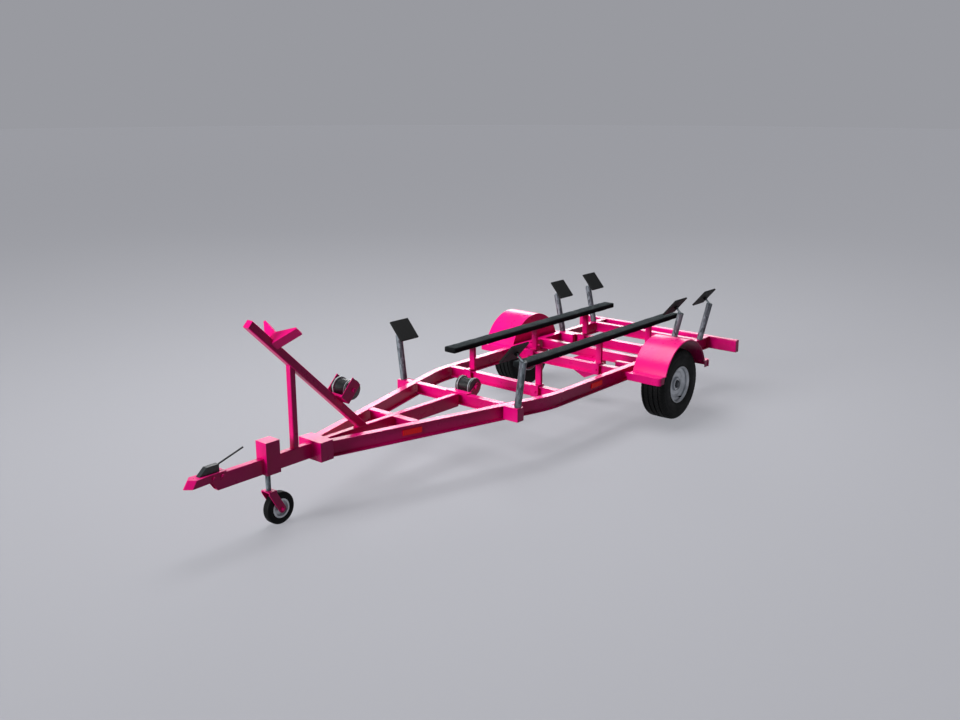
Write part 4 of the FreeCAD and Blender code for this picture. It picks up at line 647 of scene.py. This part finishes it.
# Jockey leg and side props: steel tubes, hot dipped in zinc and left bare to weather.
# Dipped zinc freezes in spangles of light and dark grey, here drawn out along the tube by handling.
weathered_zinc, dip_shader = finish("weathered_dipped_zinc", "#5d666e", 0.5, 0.4)
dip_place = node(weathered_zinc, "TexCoord")
dip_stretch = node(weathered_zinc, "Mapping", feeds={
    "Vector": dip_place.outputs["Object"], "Scale": (1.0, 1.0, 0.32)})
# Spangles are 12 mm across, and the scratches between them 7 mm apart.
dip_spangle = node(weathered_zinc, "TexVoronoi", feeds={
    "Vector": dip_stretch.outputs["Vector"], "Scale": per_metre(12), "Randomness": 1.0})
dip_streak = node(weathered_zinc, "TexNoise", feeds={
    "Vector": dip_stretch.outputs["Vector"], "Scale": per_metre(6.67), "Detail": 5.0, "Roughness": 0.7})
dip_blend = node(weathered_zinc, "Mix", {"data_type": "RGBA"},
                 {0: 0.55, 6: dip_spangle.outputs["Color"], 7: dip_streak.outputs["Color"]})
dip_grey = node(weathered_zinc, "RGBToBW", feeds={"Color": dip_blend.outputs[2]})
dip_tone = node(weathered_zinc, "ValToRGB", feeds={"Fac": dip_grey.outputs["Val"]},
                into=[dip_shader.inputs["Base Color"]])
dip_tone.color_ramp.elements[0].position = 0.3
dip_tone.color_ramp.elements[0].color = linear("#343b42")
dip_tone.color_ramp.elements[1].position = 0.72
dip_tone.color_ramp.elements[1].color = linear("#88929a")
node(weathered_zinc, "MapRange", feeds={
    "Value": dip_grey.outputs["Val"], "From Min": 0.3, "From Max": 0.7,
    "To Min": 0.38, "To Max": 0.62}, into=[dip_shader.inputs["Roughness"]])
node(weathered_zinc, "Bump", feeds={
    "Height": dip_grey.outputs["Val"], "Strength": 0.25, "Distance": 0.0008},
    into=[dip_shader.inputs["Normal"]])
dress(("jockey_leg", "side_props"), weathered_zinc)


# Prop caps: a pressed steel cap with a rolled rim closes the upper end of each prop tube.
# It is dipped with the tube, and the pad's ears are welded to it.
PROP_CAP_UP = 0.2985
# The props by pairs: name, station, distance out and lean in degrees, and their pad's pin from the
# tube's end, inward and upward, with the pad's middle ahead of the pin.
PROP_ROWS = (
    ("front", 0.210, 0.496, 7.7, 0.049, 0.037, 0.012),
    ("middle", -1.665, 0.504, 13.0, 0.036, 0.034, 0.0),
    ("rear", -2.117, 0.504, 13.0, 0.036, 0.034, 0.0))
cap_line = [(0.0225, 0.0), (0.0236, 0.001), (0.0236, 0.0066), (0.0222, 0.0082), (0.0185, 0.0086),
            (0.0180, 0.0060)]
prop_cap_shape = bmesh.new()
for _, x, y, lean, _, _, _ in PROP_ROWS:
    for side in (1, -1):
        along = Vector((0, side * math.sin(math.radians(lean)), math.cos(math.radians(lean))))
        foot = Vector((x, side * y, FRAME_TOP))
        tower(prop_cap_shape, foot + along * PROP_CAP_UP, along.to_track_quat("Z", "Y").to_matrix(),
              cap_line, 40)
prop_caps = mesh_piece("prop_caps", prop_cap_shape, weathered_zinc, smooth=True)
prop_caps.data.set_sharp_from_angle(angle=math.radians(35))
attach(prop_caps, "frame")


# Side pads: slabs of hard black rubber, moulded with fine ribs across the face and rounded corners.
# Each is bolted to two ears on a pin, and lies about 41 degrees back, to follow a hull's turn.
# The hard rubber is black and dull, and a little grey where dust lies in its grain.
PAD_ANGLE = 41.0
PAD_FACE = 0.026
PROP_LENGTH = 0.305
RIB_COUNT = 17
RIB_PITCH = 0.156 / RIB_COUNT
RIB_HEIGHT = 0.0014
RIB_VALLEY = 0.0004
RIB_PROUD = 0.0001
RIB_SUNK = 0.001
RIBBED_HALF = 0.078
RIBBED_HALF_UP = 0.074
RIB_SLOPE = 0.0012

pad_rubber, pad_shader = finish("ribbed_pad_rubber", "#0d0f10", 0.72, IOR=1.52, Specular_IOR_Level=0.2)
pad_place = node(pad_rubber, "TexCoord")
pad_dust = node(pad_rubber, "TexNoise", feeds={
    "Vector": pad_place.outputs["Object"], "Scale": per_metre(25), "Detail": 5.0, "Roughness": 0.65})
pad_tone = node(pad_rubber, "ValToRGB", feeds={"Fac": pad_dust.outputs["Fac"]},
                into=[pad_shader.inputs["Base Color"]])
pad_tone.color_ramp.elements[0].position = 0.3
pad_tone.color_ramp.elements[0].color = linear("#08090a")
pad_tone.color_ramp.elements[1].position = 0.8
pad_tone.color_ramp.elements[1].color = linear("#121415")
node(pad_rubber, "MapRange", feeds={
    "Value": pad_dust.outputs["Fac"], "From Min": 0.3, "From Max": 0.8,
    "To Min": 0.6, "To Max": 0.82}, into=[pad_shader.inputs["Roughness"]])
# The mould's grain is about 0.5 mm. It is drawn at 1.2 mm, to show near by.
pad_skin = node(pad_rubber, "TexNoise", feeds={
    "Vector": pad_place.outputs["Object"], "Scale": per_metre(1.2), "Detail": 2.0})
node(pad_rubber, "Bump", feeds={
    "Height": pad_skin.outputs["Fac"], "Strength": 0.2, "Distance": 0.0004},
    into=[pad_shader.inputs["Normal"]])

# The ribs' section across the pad: distance along, and height over the face.
rib_line = [(-RIBBED_HALF, 0.0), (-RIBBED_HALF + RIB_SLOPE, RIB_HEIGHT)]
for k in range(RIB_COUNT):
    rib_start = -RIBBED_HALF + k * RIB_PITCH
    rib_line.append((rib_start + RIB_PITCH * 0.62, RIB_HEIGHT))
    if k < RIB_COUNT - 1:
        rib_line += [(rib_start + RIB_PITCH * 0.74, RIB_VALLEY),
                     (rib_start + RIB_PITCH * 0.92, RIB_VALLEY),
                     (rib_start + RIB_PITCH * 1.04, RIB_HEIGHT)]
rib_line.append((RIBBED_HALF, 0.0))
rib_rows = ((-RIBBED_HALF_UP, 0.0), (-RIBBED_HALF_UP + RIB_SLOPE, 1.0),
            (RIBBED_HALF_UP - RIB_SLOPE, 1.0), (RIBBED_HALF_UP, 0.0))

for tag, x, y, lean, pivot_in, pivot_up, forward in PROP_ROWS:
    for label, side in (("left", 1), ("right", -1)):
        name = "pad_%s_%s" % (tag, label)
        dress([name], pad_rubber)
        end_y = y + PROP_LENGTH * math.sin(math.radians(lean)) - pivot_in
        end_z = FRAME_TOP + PROP_LENGTH * math.cos(math.radians(lean)) + pivot_up
        tilt = Matrix.Rotation(math.radians(-side * PAD_ANGLE), 4, "X")
        stand = Matrix.Translation((x, side * end_y, end_z)) @ tilt
        face_at = -side * PAD_FACE
        ribbed = bmesh.new()
        rows = []
        for up, lift in rib_rows:
            rows.append([ribbed.verts.new(stand @ Vector((
                forward + along, face_at - side * (height * lift + RIB_PROUD), up)))
                for along, height in rib_line])
        for low, high in zip(rows, rows[1:]):
            for k in range(len(rib_line) - 1):
                ribbed.faces.new((low[k], low[k + 1], high[k + 1], high[k]))
        back = [ribbed.verts.new(stand @ Vector((
            forward + across * RIBBED_HALF, face_at + side * RIB_SUNK, up * RIBBED_HALF_UP)))
            for across, up in ((-1, -1), (1, -1), (1, 1), (-1, 1))]
        ribbed.faces.new(back)
        ribbed.faces.new([back[0], back[1]] + rows[0][::-1])
        ribbed.faces.new([back[3], back[2]] + rows[-1][::-1])
        ribbed.faces.new([back[0], back[3]] + [row[0] for row in rows][::-1])
        ribbed.faces.new([back[1], back[2]] + [row[-1] for row in rows][::-1])
        pad_face = mesh_piece("pad_ribs_%s_%s" % (tag, label), ribbed, pad_rubber)
        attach(pad_face, name)


# Keel and bow rollers: barrels of black rubber with round flanges, cast on a core.
# Fine rings are moulded round the barrel, and a pale grey ring at each flange's inner edge is a painted
# highlight, standing in for light caught on the flange's edge.
# Keels rub the rubber smooth, so it shines a little.
ROLLER_HALF = 0.062
RING_COUNT = 15
RING_PITCH = 0.0064
HIGHLIGHT_RING_Y = 0.0455
NUT_Y = 0.0690

roller_rubber, roller_shader = finish("roller_rubber", "#15171a", 0.4, IOR=1.52,
                                      Coat_Weight=0.4, Coat_Roughness=0.25)
roller_place = node(roller_rubber, "TexCoord")
roller_dust = node(roller_rubber, "TexNoise", feeds={
    "Vector": roller_place.outputs["Object"], "Scale": per_metre(18), "Detail": 5.0, "Roughness": 0.65})
roller_tone = node(roller_rubber, "ValToRGB", feeds={"Fac": roller_dust.outputs["Fac"]},
                   into=[roller_shader.inputs["Base Color"]])
roller_tone.color_ramp.elements[0].position = 0.35
roller_tone.color_ramp.elements[0].color = linear("#0f1113")
roller_tone.color_ramp.elements[1].position = 0.8
roller_tone.color_ramp.elements[1].color = linear("#1f2326")
node(roller_rubber, "Bump", feeds={
    "Height": roller_dust.outputs["Fac"], "Strength": 0.15, "Distance": 0.0006},
    into=[roller_shader.inputs["Normal"]])

# Painted highlight: the pale grey of the flange rings stands in for light caught on the flanges' edges.
pale_nylon, highlight_ring_shader = finish("pale_nylon", "#a9b1b6", 0.45, IOR=1.53)
highlight_ring_place = node(pale_nylon, "TexCoord")
highlight_ring_cloud = node(pale_nylon, "TexNoise", feeds={
    "Vector": highlight_ring_place.outputs["Object"], "Scale": per_metre(14), "Detail": 4.0})
highlight_ring_tone = node(pale_nylon, "ValToRGB", feeds={"Fac": highlight_ring_cloud.outputs["Fac"]},
                  into=[highlight_ring_shader.inputs["Base Color"]])
highlight_ring_tone.color_ramp.elements[0].color = linear("#8e979d")
highlight_ring_tone.color_ramp.elements[1].color = linear("#bcc4c8")

flange_line = [(0.062, 0.0565), (0.0612, 0.0588), (0.0590, 0.0600), (0.0510, 0.0600), (0.0492, 0.0590),
               (0.0486, 0.0570), (0.0482, 0.0512)]
roller_line = [(-ROLLER_HALF, 0.0084), (ROLLER_HALF, 0.0084)] + flange_line
for k in range(RING_COUNT):
    ring_y = RING_PITCH * ((RING_COUNT - 1) / 2 - k)
    roller_line += [(ring_y + 0.0019, 0.0510), (ring_y + 0.0011, 0.0489), (ring_y - 0.0011, 0.0489),
                    (ring_y - 0.0019, 0.0510)]
roller_line += [(-across, radius) for across, radius in reversed(flange_line)]
highlight_ring_line = [(-0.0022, 0.0505), (0.0022, 0.0505), (0.0022, 0.0592), (0.0012, 0.0598), (-0.0012, 0.0598),
              (-0.0022, 0.0592)]

roller_pins = bmesh.new()
for name in ("bow_roller", "keel_roller"):
    low, high = (Vector(corner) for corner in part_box(name))
    middle = (low + high) / 2
    barrel = turned(name + "_barrel", roller_line, middle, roller_rubber, sides=80, sharp=30)
    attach(barrel, name)
    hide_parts(name)
    # A pale ring of painted highlight against the inner face of each flange.
    for tag, side in (("left", 1), ("right", -1)):
        highlight_ring = turned("%s_liner_%s" % (name, tag),
                       [(side * HIGHLIGHT_RING_Y + across, radius) for across, radius in highlight_ring_line],
                       middle, pale_nylon, sides=80)
        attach(highlight_ring, name)
    for side, stud in ((1, 0.0), (-1, 0.0075)):
        hex_fixing(roller_pins, middle + Vector((0, side * NUT_Y, 0)), (0, side, 0), 0.024, 0.009,
                   washer=0.0155, stud=stud)
roller_nuts = mesh_piece("roller_nuts", roller_pins, sprayed_enamel)
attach(roller_nuts, "frame")


# Bunks: long softwood planks wrapped in black marine carpet, which is folded under and stapled.
# The pile stands a little proud, so edges are soft, and light from above greys the top.
# Each stands on three posts, whose saddles are bolted through the cross members' sides.
CARPET_CORNER = 0.009
CARPET_SUNK = 0.0010
CARPET_CROWN = 0.0006
CARPET_STATIONS = 66
EVEN_FROM = 0.03
# How the carpet is nipped in at a plank's end: distance from the end, and share of the section.
END_NIPS = ((0.0, 0.93), (0.004, 0.985), (0.012, 1.0))
BUNK_POST_X = (-0.256, -0.981, -1.658)
BUNK_POST_Y = 0.3080
SADDLE_BOLT_OUT = 0.0333
SADDLE_BOLT_UP = 0.372

marine_carpet, carpet_shader = finish("marine_carpet", "#0e1112", 0.95, IOR=1.5, Specular_IOR_Level=0.08,
                                      Sheen_Weight=0.16, Sheen_Roughness=0.35,
                                      Sheen_Tint=linear("#a9bcc4"))
carpet_place = node(marine_carpet, "TexCoord")
# Tufts are 2.5 mm across, and the nap lies one way or another over a hand's width.
carpet_tuft = node(marine_carpet, "TexNoise", feeds={
    "Vector": carpet_place.outputs["Object"], "Scale": per_metre(2.5), "Detail": 4.0, "Roughness": 0.75})
carpet_cloud = node(marine_carpet, "TexNoise", feeds={
    "Vector": carpet_place.outputs["Object"], "Scale": per_metre(143), "Detail": 5.0, "Roughness": 0.6})
carpet_mix = node(marine_carpet, "Mix", {"data_type": "RGBA"},
                  {0: 0.4, 6: carpet_tuft.outputs["Color"], 7: carpet_cloud.outputs["Color"]})
carpet_grey = node(marine_carpet, "RGBToBW", feeds={"Color": carpet_mix.outputs[2]})
carpet_tone = node(marine_carpet, "ValToRGB", feeds={"Fac": carpet_grey.outputs["Val"]},
                   into=[carpet_shader.inputs["Base Color"]])
carpet_tone.color_ramp.elements[0].position = 0.36
carpet_tone.color_ramp.elements[0].color = linear("#07090a")
carpet_tone.color_ramp.elements[1].position = 0.64
carpet_tone.color_ramp.elements[1].color = linear("#171b1d")
node(marine_carpet, "Bump", feeds={
    "Height": carpet_tuft.outputs["Fac"], "Strength": 0.6, "Distance": 0.0015},
    into=[carpet_shader.inputs["Normal"]])


def carpeted_plank(name, node_name):
    """A plank as long as the solid, its carpet slightly wavy and nipped in at both ends."""
    low, high = (Vector(corner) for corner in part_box(node_name))
    middle_y, middle_z = (low.y + high.y) / 2, (low.z + high.z) / 2
    half_y, half_z = (high.y - low.y) / 2, (high.z - low.z) / 2
    length = high.x - low.x
    section = rounded_outline(half_y * 2, half_z * 2, CARPET_CORNER)
    stations = list(END_NIPS)
    stations += [(EVEN_FROM + (length - 2 * EVEN_FROM) * k / CARPET_STATIONS, 1.0)
                 for k in range(CARPET_STATIONS + 1)]
    stations += [(length - along, nip) for along, nip in reversed(END_NIPS)]
    shape = bmesh.new()
    rings = []
    for along, nip in stations:
        ring = []
        for across, up in section:
            # Two waves of about half a millimetre run along the wrap, and the top is crowned.
            wave = math.sin(along * 31 + across * 60) * 0.0006 + math.sin(along * 73 + up * 90) * 0.0004
            loft = -CARPET_SUNK + wave - CARPET_CROWN * abs(across / half_y) * (up > 0)
            y = across * (nip + loft / half_y)
            z = up * (nip + loft / half_z)
            ring.append(shape.verts.new((low.x + along, middle_y + y, middle_z + z)))
        rings.append(ring)
    for back, front in zip(rings, rings[1:]):
        for k in range(len(section)):
            after = (k + 1) % len(section)
            shape.faces.new((back[k], back[after], front[after], front[k]))
    shape.faces.new(rings[0])
    shape.faces.new(rings[-1])
    return mesh_piece(name, shape, marine_carpet, smooth=True)


for label in ("left", "right"):
    plank = carpeted_plank("bunk_carpeted_" + label, "bunk_" + label)
    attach(plank, "frame")
    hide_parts("bunk_" + label)

saddle_fixings = bmesh.new()
for middle_x in BUNK_POST_X:
    for side in (1, -1):
        for end in (-1, 1):
            spot = (middle_x + end * SADDLE_BOLT_OUT, side * BUNK_POST_Y, SADDLE_BOLT_UP)
            hex_fixing(saddle_fixings, spot, (end, 0, 0), 0.013, 0.006, washer=0.0095, stud=0.004)
bunk_bolts = mesh_piece("bunk_bolts", saddle_fixings, sprayed_enamel)
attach(bunk_bolts, "frame")


# Reflectors: strips of clear red acrylic with small prisms moulded behind a smooth face.
# The prisms turn light back to the eye; here a faint painted glow, the material's emission, makes the
# strip brighter red than the paint round it.
red_acrylic_with_painted_glow, acrylic_shader = finish("red_prism_acrylic", "#e8040f", 0.3, IOR=1.49, Specular_IOR_Level=0.3,
                                      Emission_Color=linear("#ff0018"), Emission_Strength=0.15)
acrylic_place = node(red_acrylic_with_painted_glow, "TexCoord")
# Real prisms are 2 mm square. They are drawn at 4 mm, to show at all.
acrylic_prism = node(red_acrylic_with_painted_glow, "TexVoronoi", {"distance": "CHEBYCHEV"}, {
    "Vector": acrylic_place.outputs["Object"], "Scale": per_metre(4), "Randomness": 0.0})
acrylic_tone = node(red_acrylic_with_painted_glow, "ValToRGB", feeds={"Fac": acrylic_prism.outputs["Distance"]},
                    into=[acrylic_shader.inputs["Base Color"]])
acrylic_tone.color_ramp.elements[0].color = linear("#f80a1c")
acrylic_tone.color_ramp.elements[1].position = 0.6
acrylic_tone.color_ramp.elements[1].color = linear("#c0000c")
node(red_acrylic_with_painted_glow, "Bump", feeds={
    "Height": acrylic_prism.outputs["Distance"], "Strength": 0.5, "Distance": 0.001},
    into=[acrylic_shader.inputs["Normal"]])
# The reflectors carry the painted glow of the emission set above.
dress(["reflectors"], red_acrylic_with_painted_glow)


# Coupling latch: a block of cast iron with a lever, dipped in black paint that has worn.
# Its sheen is soft, and greyer where hands and weather have rubbed it.
# It is pinned through the pressed head, whose two bolts go on through the drawbar.
HEAD_BOLT_X = (2.092, 2.148)
HEAD_OUT_Y = 0.0300
HEAD_BOLT_UP = 0.398

black_dip, black_shader = finish("worn_black_paint", "#1a1f21", 0.42, IOR=1.5, Specular_IOR_Level=0.4,
                                 Coat_Weight=0.2, Coat_Roughness=0.3)
black_place = node(black_dip, "TexCoord")
black_cloud = node(black_dip, "TexNoise", feeds={
    "Vector": black_place.outputs["Object"], "Scale": per_metre(22), "Detail": 6.0, "Roughness": 0.65})
black_tone = node(black_dip, "ValToRGB", feeds={"Fac": black_cloud.outputs["Fac"]},
                  into=[black_shader.inputs["Base Color"]])
black_tone.color_ramp.elements[0].position = 0.35
black_tone.color_ramp.elements[0].color = linear("#13181a")
black_tone.color_ramp.elements[1].position = 0.8
black_tone.color_ramp.elements[1].color = linear("#2c3336")
node(black_dip, "Bump", feeds={
    "Height": black_cloud.outputs["Fac"], "Strength": 0.2, "Distance": 0.0008},
    into=[black_shader.inputs["Normal"]])
dress(["coupling_latch"], black_dip)

head_fixings = bmesh.new()
for x in HEAD_BOLT_X:
    for side, stud in ((1, 0.0), (-1, 0.0055)):
        hex_fixing(head_fixings, (x, side * HEAD_OUT_Y, HEAD_BOLT_UP), (0, side, 0), 0.018, 0.008,
                   washer=0.0115, stud=stud)
head_bolts = mesh_piece("head_bolts", head_fixings, sprayed_enamel)
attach(head_bolts, "frame")
